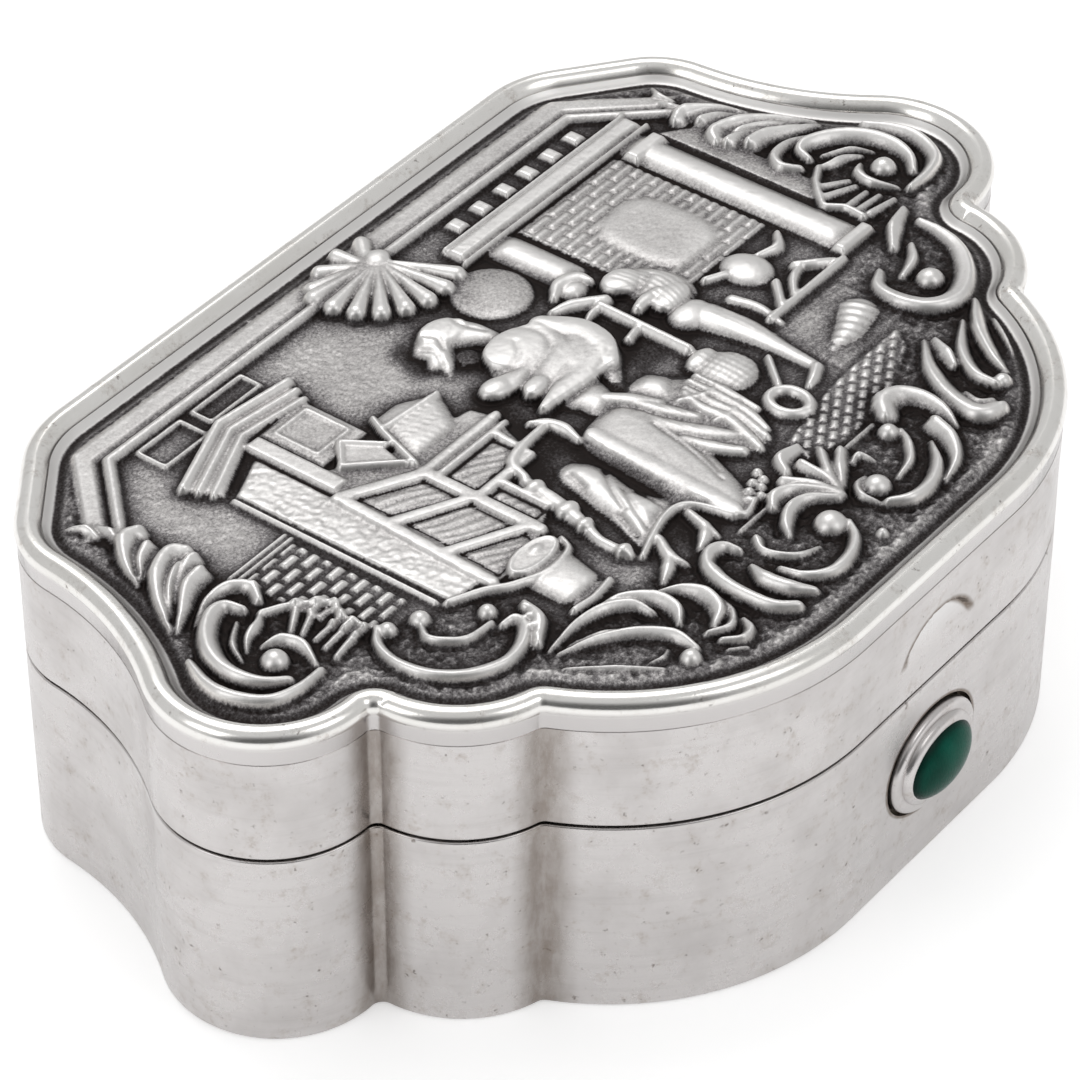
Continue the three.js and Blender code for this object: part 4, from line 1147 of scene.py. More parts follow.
# Leaf sprays on each side of the front
spray = [
    ([(-18.4, -10.6), (-16.0, -10.5), (-14.2, -10.9), (-13.0, -11.9), (-12.8, -13.1)],
     (0.14, 0.34, 0.44, 0.46, 0.24)),
    ([(-14.8, -10.5), (-13.0, -11.1), (-11.9, -12.5), (-11.9, -13.8), (-12.6, -14.6)],
     (0.14, 0.42, 0.58, 0.54, 0.24)),
    ([(-17.4, -11.1), (-15.5, -12.0), (-13.9, -13.6)], (0.1, 0.2, 0.12)),
    ([(-18.3, -11.1), (-16.2, -12.1), (-14.6, -13.4), (-13.6, -15.0), (-13.7, -16.5)],
     (0.14, 0.34, 0.44, 0.46, 0.3)),
    ([(-19.0, -12.0), (-17.4, -14.1), (-15.9, -16.1)], (0.12, 0.22, 0.14)),
    ([(-15.9, -15.2), (-15.2, -15.5), (-14.5, -15.3)], (0.1, 0.18, 0.1)),
    ([(-11.3, -12.2), (-10.4, -13.2), (-10.1, -14.4), (-10.6, -15.6), (-11.6, -16.1)],
     (0.16, 0.42, 0.62, 0.56, 0.26)),
    ([(-12.3, -16.2), (-11.2, -16.8), (-10.2, -16.2), (-9.6, -15.0)], (0.26, 0.36, 0.3, 0.12)),
    ([(-12.3, -17.1), (-11.6, -17.9), (-10.8, -17.8), (-10.3, -17.0)], (0.26, 0.42, 0.4, 0.2)),
    ([(-12.7, -17.8), (-11.9, -18.5)], (0.14, 0.14)),
    ([(15.2, -11.2), (13.4, -12.8), (12.2, -14.6), (11.6, -16.4), (11.7, -17.3), (12.5, -17.7)],
     (0.24, 0.62, 0.78, 0.96, 0.8)),
    ([(12.7, -15.6), (12.4, -16.6), (13.0, -17.1)], (0.2, 0.36, 0.26)),
    ([(15.5, -11.6), (14.8, -12.8), (14.2, -13.7)], (0.3, 0.54, 0.36)),
    ([(18.0, -11.9), (15.7, -13.4), (14.4, -15.1), (14.3, -16.5)], (0.24, 0.5, 0.54, 0.42)),
    ([(20.0, -11.4), (18.0, -13.0), (16.4, -14.9), (15.6, -16.3)], (0.3, 0.58, 0.52, 0.24)),
    ([(21.0, -11.8), (19.2, -13.6), (17.4, -15.7)], (0.26, 0.52, 0.26)),
]
chasing.strands(spray, vein=0.08, lean=0.55)
chasing.domes([(-14.4, -16.7, 0.66), (14.8, -16.6, 0.6)])

# Scrolls and palmette in the middle of the front
cartouche = [
    ([(-6.0, -13.7), (-6.3, -12.9), (-7.2, -12.7), (-8.1, -13.4), (-8.6, -14.8), (-8.7, -16.4),
      (-8.5, -17.8), (-7.8, -18.7)], (0.3, 0.56, 0.66, 0.6, 0.5)),
    ([(-6.6, -15.0), (-7.0, -16.2), (-6.8, -17.6), (-6.2, -18.7)], (0.3, 0.72, 0.7, 0.36)),
    ([(-5.8, -16.2), (-5.5, -17.6), (-4.4, -18.5), (-2.8, -18.5), (-1.4, -17.9), (-0.5, -16.9)],
     (0.25, 0.46, 0.54, 0.44, 0.3)),
    ([(-4.6, -13.9), (-5.1, -14.6), (-4.9, -15.6), (-4.2, -16.4), (-3.0, -16.8)],
     (0.4, 0.3, 0.34, 0.28, 0.14)),
    ([(-3.3, -15.1), (-2.6, -14.4), (-1.4, -13.9), (-0.2, -14.2), (0.8, -15.4)],
     (0.22, 0.5, 0.54, 0.46, 0.34)),
    ([(-2.0, -13.1), (-1.2, -12.7), (-0.2, -13.1), (0.6, -14.2), (1.0, -15.3)],
     (0.4, 0.6, 0.54, 0.46, 0.34)),
    ([(1.1, -15.4), (0.8, -13.8), (0.1, -12.2)], (0.34, 0.5, 0.44)),
    ([(1.2, -15.2), (1.7, -13.7), (1.9, -12.1)], (0.3, 0.46, 0.44)),
    ([(1.4, -15.2), (2.3, -13.7), (3.5, -12.4)], (0.28, 0.48, 0.38)),
    ([(1.8, -15.0), (3.0, -14.0), (4.2, -13.2)], (0.28, 0.5, 0.46)),
    ([(1.9, -17.2), (1.8, -16.2), (2.4, -15.5), (3.3, -15.4)], (0.2, 0.36, 0.32, 0.16)),
    ([(2.2, -17.6), (3.2, -18.4), (4.8, -18.5), (6.5, -17.8), (7.9, -16.5)], (0.4, 0.58, 0.56, 0.46, 0.2)),
    ([(5.6, -19.0), (7.4, -18.4), (8.6, -17.2), (9.1, -15.9)], (0.16, 0.46, 0.66, 0.7)),
    ([(4.3, -16.8), (5.8, -16.5), (7.0, -15.6), (7.8, -14.6)], (0.2, 0.36, 0.36, 0.2)),
    ([(3.8, -14.2), (4.5, -14.1), (4.7, -14.9)], (0.2, 0.32, 0.18)),
    ([(8.4, -13.3), (9.2, -12.7), (10.2, -13.0), (10.7, -14.2), (10.5, -15.6), (9.9, -16.8)],
     (0.76, 0.92, 0.76, 0.56, 0.24)),
    ([(0.9, -11.9), (1.6, -11.1), (2.9, -11.2)], (0.36, 0.62, 0.4)),
]
chasing.strands(cartouche, lean=0.4)
chasing.domes([(-1.15, -16.2, 1.0), (3.0, -16.35, 0.86), (7.2, -14.2, 0.66), (-0.1, -18.8, 0.4)])
chasing.scores([
    [(-7.7, -13.4), (-7.1, -13.2), (-6.6, -13.4)], [(-7.9, -14.4), (-8.0, -16.0), (-7.7, -17.6)],
], 0.16, 0.24)

# Moulded frame of the room at the back, and the shell over it
band = [(-20.8, 18.2), (-25.1, 13.5), (-26.4, 14.2), (-21.3, 19.85), (21.3, 19.85), (26.4, 14.2),
        (25.1, 13.5), (20.8, 18.2)]
chasing.slab(band, 0.2, 0.35)
chasing.edges([
    ((-24.9, 12.9), (-20.4, 17.75)), ((-20.4, 17.75), (20.4, 17.75)), ((20.4, 17.75), (24.9, 12.9)),
], 0.46, 0.42)
SHELL = (2.3, 17.5)
for angle in np.linspace(172, 292, 8):
    c, s = math.cos(math.radians(angle)), math.sin(math.radians(angle))
    rib = [(SHELL[0] + r * c, SHELL[1] + 0.94 * r * s) for r in (0.5, 2.8, 4.9)]
    chasing.strand(rib, (0.24, 0.42, 0.62), 0.42, base=0.34)
for tip in ((-1.9, 18.8), (-0.4, 19.5), (1.4, 19.8), (3.2, 19.4)):
    chasing.strand([(1.6, 17.6), tip], (0.4, 0.7, 0.55), 0.34, base=0.3)
chasing.boss(2.4, 17.6, 0.9, 0.8, 0.4, base=0.4)
chasing.boss(4.1, 10.7, 2.45, 2.45, 0.34, round_=0.35)


def rectangle(x0, x1, y0, y1):
    return [(x0, y0), (x1, y0), (x1, y1), (x0, y1)]


def sides(corners):
    """The pairs of points at the ends of a polygon's sides."""
    return zip(corners, corners[1:] + corners[:1])


def ruled(x0, x1, y0, y1, width, height, base=0.0):
    """A thin raised border round a rectangle."""
    chasing.edges(sides(rectangle(x0, x1, y0, y1)), width, height, base=base)


def courses(x, y, width, height, gap, raised):
    """Staggered bricks: raised inside each brick's own rectangle, with mortar between."""
    row = np.floor(y / height)
    u = (x / width + 0.5 * (row % 2)) % 1.0
    v = (y / height) % 1.0
    edge = np.minimum(np.minimum(u, 1 - u) * width, np.minimum(v, 1 - v) * height)
    return raised * ease((edge - gap / 2) / 0.14)


def pebbles(x, y):
    """Close punch marks."""
    marks = soften(np.random.default_rng(11).normal(size=x.shape), 0.08)
    return 0.018 * marks / marks.std()


def wicker(x, y):
    """Short strokes in rows."""
    return 0.012 * np.sin(13 * (x + 0.3 * y)) * ease(2 * np.sin(6.2 * (y + 0.1 * x)) + 0.8)


def wood_grain(x, y):
    """Wavy lines along a board."""
    return 0.03 * np.sin(9 * (y + 0.55 * x) + 1.2 * np.sin(1.7 * x + 0.6 * y))


# Wall panels and desk on the left of the room
ruled(-18.9, -15.4, 15.0, 17.0, 0.2, 0.26)
ruled(-14.4, -10.3, 15.6, 17.0, 0.2, 0.26)
chasing.slab([(-20.1, 12.8), (-14.5, 15.2), (-9.2, 14.6), (-9.9, 12.8), (-14.4, 12.8), (-19, 10.7)],
             0.3, 0.2)
for drop, width, height in [(0.0, 0.36, 0.3), (0.85, 0.28, 0.22), (1.65, 0.24, 0.16)]:
    inset = 0.35 * drop
    left, corner, right = (-19.9 + inset, 12.9 - drop), (-14.5, 15.0 - drop), (-9.3 - inset, 14.4 - drop)
    chasing.edges([(left, corner), (corner, right)], width, height, base=0.28)
side_face = [(-18.6, 10.4), (-15.4, 11.7), (-15.4, -4.6), (-18.4, -4.2)]
chasing.slab(side_face, 0.2)
chasing.work(side_face, pebbles)
chasing.strand([(-18.9, 10.2), (-18.9, -3.6)], 0.2, 0.34)
chasing.slab(rectangle(-15.3, -13.8, 6.2, 12.8), 0.36, 0.22)
chasing.slab(rectangle(-13.8, -9.9, 8.2, 12.8), 0.22, 0.15)
ruled(-13.2, -10.5, 9.1, 12.1, 0.18, 0.22, 0.14)

# Counter with framed panels, a chest and a slope on it
chasing.slab([(-15.4, 6.0), (-11, 3.7), (-4.5, 3.7), (-4.9, 5.2), (-10.6, 6.2), (-13.8, 8.0), (-15.2, 7.8)],
             0.2, 0.25)
chasing.slab([(-13.5, 7.4), (-11.9, 8.7), (-10.4, 6.7), (-11.0, 4.8)], 0.42, 0.2)
chasing.edges([
    ((-13.4, 7.3), (-11.0, 4.8)), ((-13.4, 7.3), (-11.8, 8.7)), ((-11.8, 8.7), (-10.4, 6.6)),
], 0.22, 0.2, base=0.4)
chest = [(-10.7, 4.4), (-9.6, 7.6), (-9.2, 8.7), (-7.0, 8.6), (-4.9, 7.3), (-6.6, 4.4)]
chasing.slab(chest, 0.36, 0.4, crown=0.1)
chasing.work(chest, wicker)
chasing.edges([
    ((-10.7, 4.4), (-9.6, 7.6)), ((-9.6, 7.6), (-5.2, 7.2)), ((-9.6, 7.6), (-9.1, 8.6)),
], 0.24, 0.16, base=0.42)
chasing.slab([(-15.3, 5.8), (-10.9, 3.5), (-10.9, -4.4), (-12.0, -5.2), (-15.9, -5.2)], 0.2, 0.2)
chasing.slab([(-10.9, 3.6), (-4.6, 3.6), (-6.0, -0.2), (-8.6, -0.6), (-9.0, -3.6), (-10.9, -4.3)],
             0.18, 0.2)
bars = [
    ([(-15.4, 5.8), (-15.9, -5)], 0.40), ([(-15.4, 5.8), (-11, 3.5)], 0.44),
    ([(-15.4, 2.3), (-11, 0.2)], 0.40), ([(-15.5, -1.5), (-11.2, -3.6)], 0.38),
    ([(-10.9, 3.6), (-10.9, -4.3)], 0.44), ([(-11, 3.6), (-4.6, 3.6)], 0.34),
    ([(-10.8, 2.8), (-4.8, 2.8)], 0.24), ([(-10.6, 0.0), (-6.2, 0.0)], 0.34),
    ([(-9.0, -0.4), (-9.1, -3.4)], 0.26), ([(-5.9, 2.6), (-6.2, 0.2)], 0.28),
]
chasing.strands(bars, 0.2, base=0.2, round_=0.12)
panels = [
    [(-14.8, 4.9), (-11.5, 3.1), (-11.5, 0.9), (-14.8, 2.8)],
    [(-14.8, 1.5), (-11.5, -0.1), (-11.6, -2.8), (-14.9, -1.2)],
    [(-15.0, -2.2), (-11.7, -3.9), (-12.0, -4.8), (-15.2, -4.8)], rectangle(-10.3, -6.4, 0.5, 2.4),
    rectangle(-10.3, -9.5, -3.5, -0.5),
]
for panel in panels:
    chasing.work(panel, wood_grain)
    chasing.scores(sides(panel), 0.12, 0.11)

bricks = rectangle(-23.8, -19.6, -2.3, 5.5)
chasing.slab(bricks, 0.05)
chasing.work(bricks, lambda x, y: courses(x, y, 1.5, 0.84, 0.24, 0.24))
for y in (5.75, 6.2):
    chasing.strand([(-24, y), (-19.4, y)], 0.16, 0.3)


def oval(x, y, rx, ry, power_x=1.0, power_y=1.0, steps=28):
    """Points round an oval, squarer where a power of its cosine or sine is below 1."""
    angle = np.linspace(0, 2 * np.pi, steps, endpoint=False)
    c, s = np.cos(angle), np.sin(angle)
    along = x + rx * np.sign(c) * np.abs(c) ** power_x
    across = y + ry * np.sign(s) * np.abs(s) ** power_y
    return np.stack([along, across], 1)


def hoop(x, y, rx, ry, width, height, base=0.0):
    """A strand round an oval."""
    line = oval(x, y, rx, ry)
    chasing.strand(np.concatenate([line, line[:1]]), width, height, base)


# Bucket with a lid, and the strap that lies over it
chasing.slab([(-15.0, -6.0), (-11.2, -6.0), (-12.1, -9.6), (-14.9, -9.6)], 0.3, 0.5, crown=0.14)
chasing.score([(-14.8, -9.1), (-13.4, -9.3), (-12.1, -9.1)], 0.16, 0.12)
chasing.strand([(-15.1, -9.7), (-13.6, -9.9), (-12.0, -9.7)], 0.3, 0.46)
chasing.strand([(-18.6, -4.1), (-16.8, -5.0), (-15.4, -6.0), (-13.4, -6.75), (-11.4, -6.5), (-10.8, -5.6)],
               (0.3, 0.36, 0.36, 0.3, 0.26), 0.5)
chasing.slab(oval(-13.0, -5.4, 2.1, 1.05), 0.46, 0.25)
hoop(-13.0, -5.4, 1.75, 0.78, 0.14, 0.10, 0.44)
chasing.boss(-12.6, -5.3, 0.5, 0.3, 0.14, base=0.44)

# Hearth on the right of the room
chasing.slab(rectangle(5.2, 22.6, 13.6, 15.2), 0.46, 0.4)
chasing.strand([(5.2, 13.5), (22.6, 13.5)], 0.22, 0.52)
chasing.strand([(5.5, 15.2), (22.4, 15.2)], 0.2, 0.55)
for x in (8.0, 10.2, 12.4, 14.6, 16.8, 19.0):
    chasing.slab(rectangle(x - 0.62, x + 0.62, 15.5, 16.9), 0.36, 0.25)
chasing.slab(rectangle(6.7, 9.3, 7.6, 13.4), 0.44, 0.8, crown=0.12)
chasing.slab(rectangle(19.2, 22, -2.5, 13.4), 0.44, 0.8, crown=0.12)
chasing.slab(rectangle(18.9, 22.3, 11.4, 12.9), 0.62, 0.4)
chasing.slab(rectangle(18.9, 22.3, -3.2, -2.0), 0.6, 0.3)
brickwork = rectangle(9.6, 19, 2.2, 13.2)
chasing.slab(brickwork, 0.11)
chasing.work(brickwork, lambda x, y: courses(x, y, 2.0, 0.68, 0.12, 0.12))
chasing.slab(oval(14.5, 6.7, 3.0, 3.6, 0.6, 0.7, 40), 0.3, 0.5, crown=0.04)
chasing.slab([(22.4, 13), (24.6, 11.4), (24.4, 2.4), (22.4, 0.5)], 0.12, 0.3)
chasing.boss(14.7, 0.6, 1.5, 1.7, 0.6)
hearth_logs = [
    ([(12.3, 1.8), (13.5, 1.2)], (0.34, 0.34)), ([(16.0, 0.8), (17.4, 0.4), (18.5, 1.2)], (0.3, 0.46, 0.3)),
    ([(13.0, -3.0), (14.6, -1.5)], (0.36, 0.36)),
    ([(14.2, -3.0), (15.6, -2.0), (16.8, -1.7)], (0.3, 0.4, 0.3)),
    ([(16.5, -1.4), (17.4, -2.3), (18.3, -2.9)], (0.4, 0.46, 0.3)),
]
chasing.strands(hearth_logs)
chasing.strand([(11.6, -3.2), (18.8, -3.2)], 0.34, 0.46)


def hatch(first, last, count, width=0.10, depth=0.055):
    """Fine chased lines, spaced evenly from a first curve to a last."""
    for share in np.linspace(0, 1, count):
        chasing.score((1 - share) * np.array(first) + share * np.array(last), width, depth)


# Chair
chair = [
    ([(-4.1, 1.7), (-3.5, 0.9), (-3.3, -0.1), (-3.6, -1.3)], (0.3, 0.46, 0.5, 0.3)),
    ([(-3.9, 0.9), (-5.8, 0.75), (-7.4, 0.3), (-8.0, -1.0)], (0.36, 0.46, 0.42)),
    ([(-8.2, -1.2), (-8.5, -3.0), (-8.9, -4.8), (-9.3, -6.2), (-9.7, -7.4), (-9.7, -9.2)],
     (0.46, 0.6, 0.62, 0.44, 0.40, 0.44)),
]
chasing.strands(chair, 0.6, vein=0.12)
for x, y, r in [(-8.35, -2.0, 0.66), (-8.8, -4.5, 0.78), (-9.25, -6.0, 0.6), (-9.7, -8.9, 0.56)]:
    chasing.boss(x, y, r, 0.7 * r, 0.34, turn=-12, base=0.34)

# Seated figure in a broad hat, bent forward with folded arms, in a cloak and a long gown
gown = [(-4.2, -3.0), (-3.8, -1.6), (-2.7, -0.9), (-1.0, -0.7), (0.4, -1.0), (0.9, -2.6), (0.8, -4.6),
        (0.1, -7.4), (-1.0, -10), (-2.0, -12.0), (-3.4, -12.3), (-3.9, -11.2), (-4.2, -9.6), (-4.9, -8.6),
        (-4.5, -6.8), (-4.3, -4.8)]
legs = [(-6.9, -2.4), (-6.2, -1.8), (-5.3, -2.0), (-4.7, -3.0), (-4.7, -4.4), (-5.1, -6.0), (-4.9, -7.4),
        (-4.2, -8.6), (-5.2, -8.9), (-6.4, -9.0), (-8.0, -9.6), (-9.4, -10.1), (-8.6, -8.6), (-8.0, -7.0),
        (-7.7, -5.4), (-7.3, -4.0)]
cloak = [(-1.7, 6.4), (-0.8, 7.3), (0.4, 7.6), (1.4, 7.9), (3.0, 7.1), (4.2, 5.7), (4.9, 3.9), (4.8, 2.6),
         (4.1, 1.4), (2.9, 0.6), (1.7, -0.5), (1.5, 0.5), (1.9, 1.2), (0.6, 1.2), (-1.0, 1.3), (-2.9, 1.4),
         (-2.7, 2.2), (-1.8, 2.6), (-2.5, 3.0), (-2.2, 3.8), (-1.6, 4.4), (-2.4, 5.2)]
lap = [(-2.0, 1.5), (1.6, 1.4), (1.1, 0.2), (0.7, -1.0), (-1.4, -1.0), (-1.3, 0.3)]
chasing.slab(legs, 0.3, 0.9, crown=0.2)
chasing.slab(gown, 0.36, 0.7, crown=0.12)
chasing.slab(lap, 0.34, 0.6, crown=0.16)
chasing.slab(cloak, 0.36, 0.9, crown=0.2)
chasing.boss(1.0, 6.0, 2.6, 1.7, 0.20, turn=-18, base=0.56)
chasing.strand([(-9.4, -9.9), (-7.6, -9.3), (-5.9, -8.9), (-4.8, -9.1), (-4.2, -10.0), (-3.8, -11.8)],
               (0.26, 0.34, 0.3), 0.54)
chasing.strand([(3.1, 6.3), (4.0, 4.6), (3.9, 3.0), (2.9, 1.6)], (0.9, 1.0, 0.95, 0.7), 0.20, base=0.56)
chasing.strand([(-2.7, 1.8), (-1.0, 1.9), (1.0, 1.9), (2.6, 2.2), (3.6, 2.8)],
               (0.32, 0.6, 0.8, 1.0, 0.8), 0.14, base=0.56)
chasing.boss(1.9, 3.6, 2.6, 1.5, 0.16, turn=12, base=0.56)
chasing.boss(-1.5, 3.25, 1.0, 0.62, 0.18, turn=6, base=0.54)
chasing.strand([(-2.6, 4.9), (-1.6, 4.6), (-0.6, 4.6)], (0.8, 0.7, 0.5), 0.2, base=0.42)
chasing.boss(-2.8, 4.95, 1.15, 0.85, 0.42, turn=-16, base=0.3)
chasing.strand([(-2.9, -1.7), (-3.1, -5.6), (-3.3, -9.2), (-3.4, -11.6)],
               (0.5, 0.7, 0.6, 0.4), 0.1, base=0.48)
chasing.strand([(-3.9, -11.4), (-3.3, -12.2), (-2.0, -11.9)], 0.26, 0.5)
chasing.boss(-1.3, 8.1, 0.8, 0.85, 0.16, base=0.02)
chasing.boss(-1.9, 7.9, 0.22, 0.18, 0.08, base=0.1)
hat = [(-3.4, 7.6), (-3.1, 8.6), (-3.7, 9.0), (-3.0, 9.8), (-3.2, 10.6), (-2.3, 11.2), (-1.2, 11.8),
       (0.0, 11.7), (1.0, 10.9), (1.5, 9.4), (1.5, 7.6), (0.6, 7.4), (-0.3, 8.4), (-1.2, 9.1), (-2.2, 8.3)]
chasing.slab(hat, 0.38, 0.4, crown=0.16)
chasing.boss(-0.6, 10.5, 1.5, 1.0, 0.12, turn=-20, base=0.52)
feet = [
    [(-7.7, -9.7), (-8.5, -11), (-8.5, -12.1)], [(-8.4, -10.9), (-9.3, -11.5), (-10.4, -12)],
    [(-5.0, -9.7), (-5.4, -11), (-5.6, -12)], [(-5.3, -10.9), (-6.0, -11.5), (-7.0, -11.9)],
]
chasing.edges(feet, (0.4, 0.5, 0.26), 0.5)
creases = [
    [(0.4, -3.2), (-0.1, -6.0), (-1.2, -9.0)], [(-0.2, -3.8), (-0.8, -6.6), (-1.8, -9.6)],
    [(-4.9, -4.0), (-6.0, -5.2), (-7.0, -6.9)], [(-6.3, -2.7), (-6.7, -4.0)],
    [(-5.6, -5.8), (-6.6, -7.2), (-7.4, -8.7)], [(-5.2, -6.4), (-5.5, -8.2)], [(-7.4, -6.9), (-8.2, -8.7)],
    [(-2.6, 10.4), (-2.4, 9.6), (-2.9, 8.6)], [(-1.7, 11.0), (-1.4, 10.2), (-1.9, 9.4)],
    [(0.5, 10.6), (0.4, 9.9), (0.9, 8.6)],
]
chasing.scores(creases, 0.17, 0.13)
cloak_creases = [
    [(2.0, 7.3), (2.3, 5.9), (1.7, 4.7), (0.3, 4.2), (-1.4, 4.1)], [(3.0, 6.6), (3.1, 5.2), (2.8, 4.2)],
    [(-1.9, 2.6), (-0.6, 2.65), (1.0, 2.8)], [(-1.2, 5.3), (0.0, 5.6), (0.8, 6.4)],
    [(1.6, 1.4), (2.6, 1.6), (3.4, 1.9)],
]
chasing.scores(cloak_creases, 0.2, 0.06)
hatch([(-4.0, -4.0), (-4.1, -6.4), (-4.4, -8.2)], [(-3.6, -3.6), (-3.7, -6.0), (-3.8, -9.4)], 2, depth=0.03)
hatch([(-3.0, 8.6), (-2.6, 10.0), (-0.8, 11.2)], [(-1.9, 8.6), (-1.2, 9.6), (0.2, 10.2)], 3, depth=0.025)

# Standing figure with a staff, bent over it, in a cap and a short coat
chasing.strand([(9.7, -0.2), (10.0, -2.6), (9.9, -5.0), (9.7, -7.7)], (1.35, 1.1, 0.72, 0.48), 0.6)
chasing.strand([(9.6, -7.8), (8.7, -8.2), (8.0, -8.4)], (0.46, 0.42, 0.28), 0.5)
chasing.strand([(11.9, -0.4), (12.2, -2.0), (11.8, -3.8)], (0.5, 0.44, 0.3), 0.34)
chasing.boss(10.2, 3.7, 1.7, 2.5, 0.62, turn=14)
chasing.boss(9.3, 0.6, 1.55, 1.35, 0.66)
chasing.boss(9.7, 2.3, 1.45, 1.0, 0.3, base=0.42)
chasing.boss(9.2, 5.4, 1.3, 1.05, 0.34, turn=-20, base=0.4)
chasing.strand([(9.6, 3.0), (8.5, 3.2), (7.7, 3.1)], (0.55, 0.5, 0.4), 0.32, base=0.4)
chasing.strand([(4.6, 6.8), (5.8, 6.3), (7.3, 5.1)], (0.34, 0.56, 0.56), 0.62)
chasing.strand([(5.2, 4.8), (6.0, 5.0), (7.0, 4.9)], (0.26, 0.36, 0.36), 0.46)
chasing.boss(7.1, 7.2, 1.0, 0.8, 0.52, turn=-15)
chasing.strand([(5.7, 7.5), (6.8, 8.0), (8.0, 7.6), (8.2, 6.8)], (0.3, 0.5, 0.52, 0.3), 0.3, base=0.32)
chasing.strand([(6.7, 5.0), (6.6, 2.0), (6.5, -1.3)], 0.46, 0.6)
chasing.strand([(5.2, 1.9), (6.3, 2.1)], 0.4, 0.5)
chasing.scores([[(8.3, 4.4), (9.4, 4.1), (10.6, 4.4)], [(8.4, 1.6), (9.6, 1.4), (11.0, 1.7)]], 0.2, 0.10)
hatch([(8.9, 5.8), (9.2, 4.2), (8.7, 1.4)], [(11.4, 5.0), (11.6, 3.0), (10.6, 1.0)], 7)
hatch([(9.0, -0.4), (9.2, -3.0), (9.5, -6.4)], [(10.8, -0.6), (10.7, -3.2), (10.2, -6.4)], 5, depth=0.025)

# Cloth, basket, pan and small things on the floor
chasing.slab([(-0.2, -1.0), (0.9, -0.4), (3.4, -0.5), (4.2, -1.9), (5.2, -3.0), (4.9, -7.4), (3.2, -9.6),
              (1.7, -10.0), (0.4, -8.9), (-0.3, -6.0)], 0.16, 0.8, crown=0.05)
chasing.slab([(1.3, -0.4), (3.5, -0.5), (4.1, -1.9), (3.1, -3.4), (1.9, -3.0)], 0.30, 0.9, crown=0.18)
cloth = [
    ([(0.2, -0.2), (0.9, -1.4), (1.6, -2.9)], (0.5, 0.62, 0.4)),
    ([(0.8, -1.6), (1.3, -3.6), (1.9, -5.2)], (0.4, 0.6, 0.4)),
    ([(0.1, -2.6), (0.4, -4.6), (1.2, -6.6), (1.9, -7.8)], (0.4, 0.62, 0.66, 0.4)),
    ([(-0.1, -5.8), (0.3, -7.4), (1.0, -8.9)], (0.36, 0.56, 0.4)),
    ([(3.2, -3.4), (2.7, -5.0), (2.8, -6.6), (2.3, -8.2), (1.8, -9.5)], (0.3, 0.46, 0.5, 0.46, 0.3)),
    ([(3.6, -3.2), (3.4, -5.2), (3.4, -7.0), (2.8, -9.2)], (0.26, 0.42, 0.46, 0.3)),
    ([(4.2, -3.0), (4.1, -5.2), (3.9, -7.2), (3.4, -8.8)], (0.26, 0.42, 0.42, 0.26)),
    ([(4.8, -3.0), (4.7, -5.0), (4.5, -7.4)], (0.26, 0.4, 0.26)),
    ([(2.4, -3.6), (3.6, -4.4), (4.6, -4.6)], (0.26, 0.36, 0.26)),
    ([(2.2, -6.2), (3.4, -6.6), (4.6, -6.2)], (0.24, 0.34, 0.24)),
]
chasing.strands(cloth, 0.30, base=0.2)
hatch([(0.2, -3.0), (0.3, -5.6), (0.9, -8.4)], [(4.9, -3.4), (4.6, -6.0), (3.4, -8.8)], 14, depth=0.045)
chasing.strand([(7.0, -7.0), (7.8, -6.1), (8.6, -5.2)], 0.3, 0.5)
chasing.boss(6.3, -4.0, 1.9, 1.9, 0.46)
chasing.boss(6.3, -2.3, 1.2, 0.7, 0.4, base=0.1)
chasing.work(oval(6.3, -4.0, 1.9, 1.9), lambda x, y: 0.035 * np.sin(7 * (x + y)) * np.sin(7 * (x - y)))
hoop(6.1, -8.4, 1.0, 1.2, 0.45, 0.5)
fruit = [(-2.2, -11.6), (-1.5, -11.9), (-1.6, -11.2), (-0.9, -11.5), (-0.9, -10.9), (-0.3, -11.2),
         (0, -10.6)]
chasing.domes([(x, y, 0.38) for x, y in fruit])
tiles = [(2.6, -12.2), (3.2, -10.2), (9, -9.2), (15.6, -9.1), (14.4, -10.6), (10.6, -12.2), (6, -12.8)]
chasing.slab(tiles, 0.08)
chasing.work(tiles, lambda x, y: courses(0.86 * x + 0.5 * y, 0.86 * y - 0.5 * x, 0.95, 0.66, 0.2, 0.12))
planks = [(10.6, -4), (17, -4), (17, -8.8), (10.6, -8.9)]
chasing.slab(planks, 0.02)
chasing.work(planks, lambda x, y: 0.07 * (1 - np.abs(np.sin(5 * (y + 0.1 * x))) ** 0.6))
rug = [(11, -7.5), (13.5, -6.3), (15.6, -5.2), (16.6, -6.2), (16.3, -7.6), (13.5, -8.2)]
chasing.slab(rug, 0.34, 0.5, crown=0.1)
chasing.work(rug, lambda x, y: 0.04 * np.sin(9 * x + 3 * y))
chasing.edges([((-4.5, -12.7), (-1.7, -12.7)), ((4.7, -13.1), (7.3, -13.1))], 0.18, 0.28)
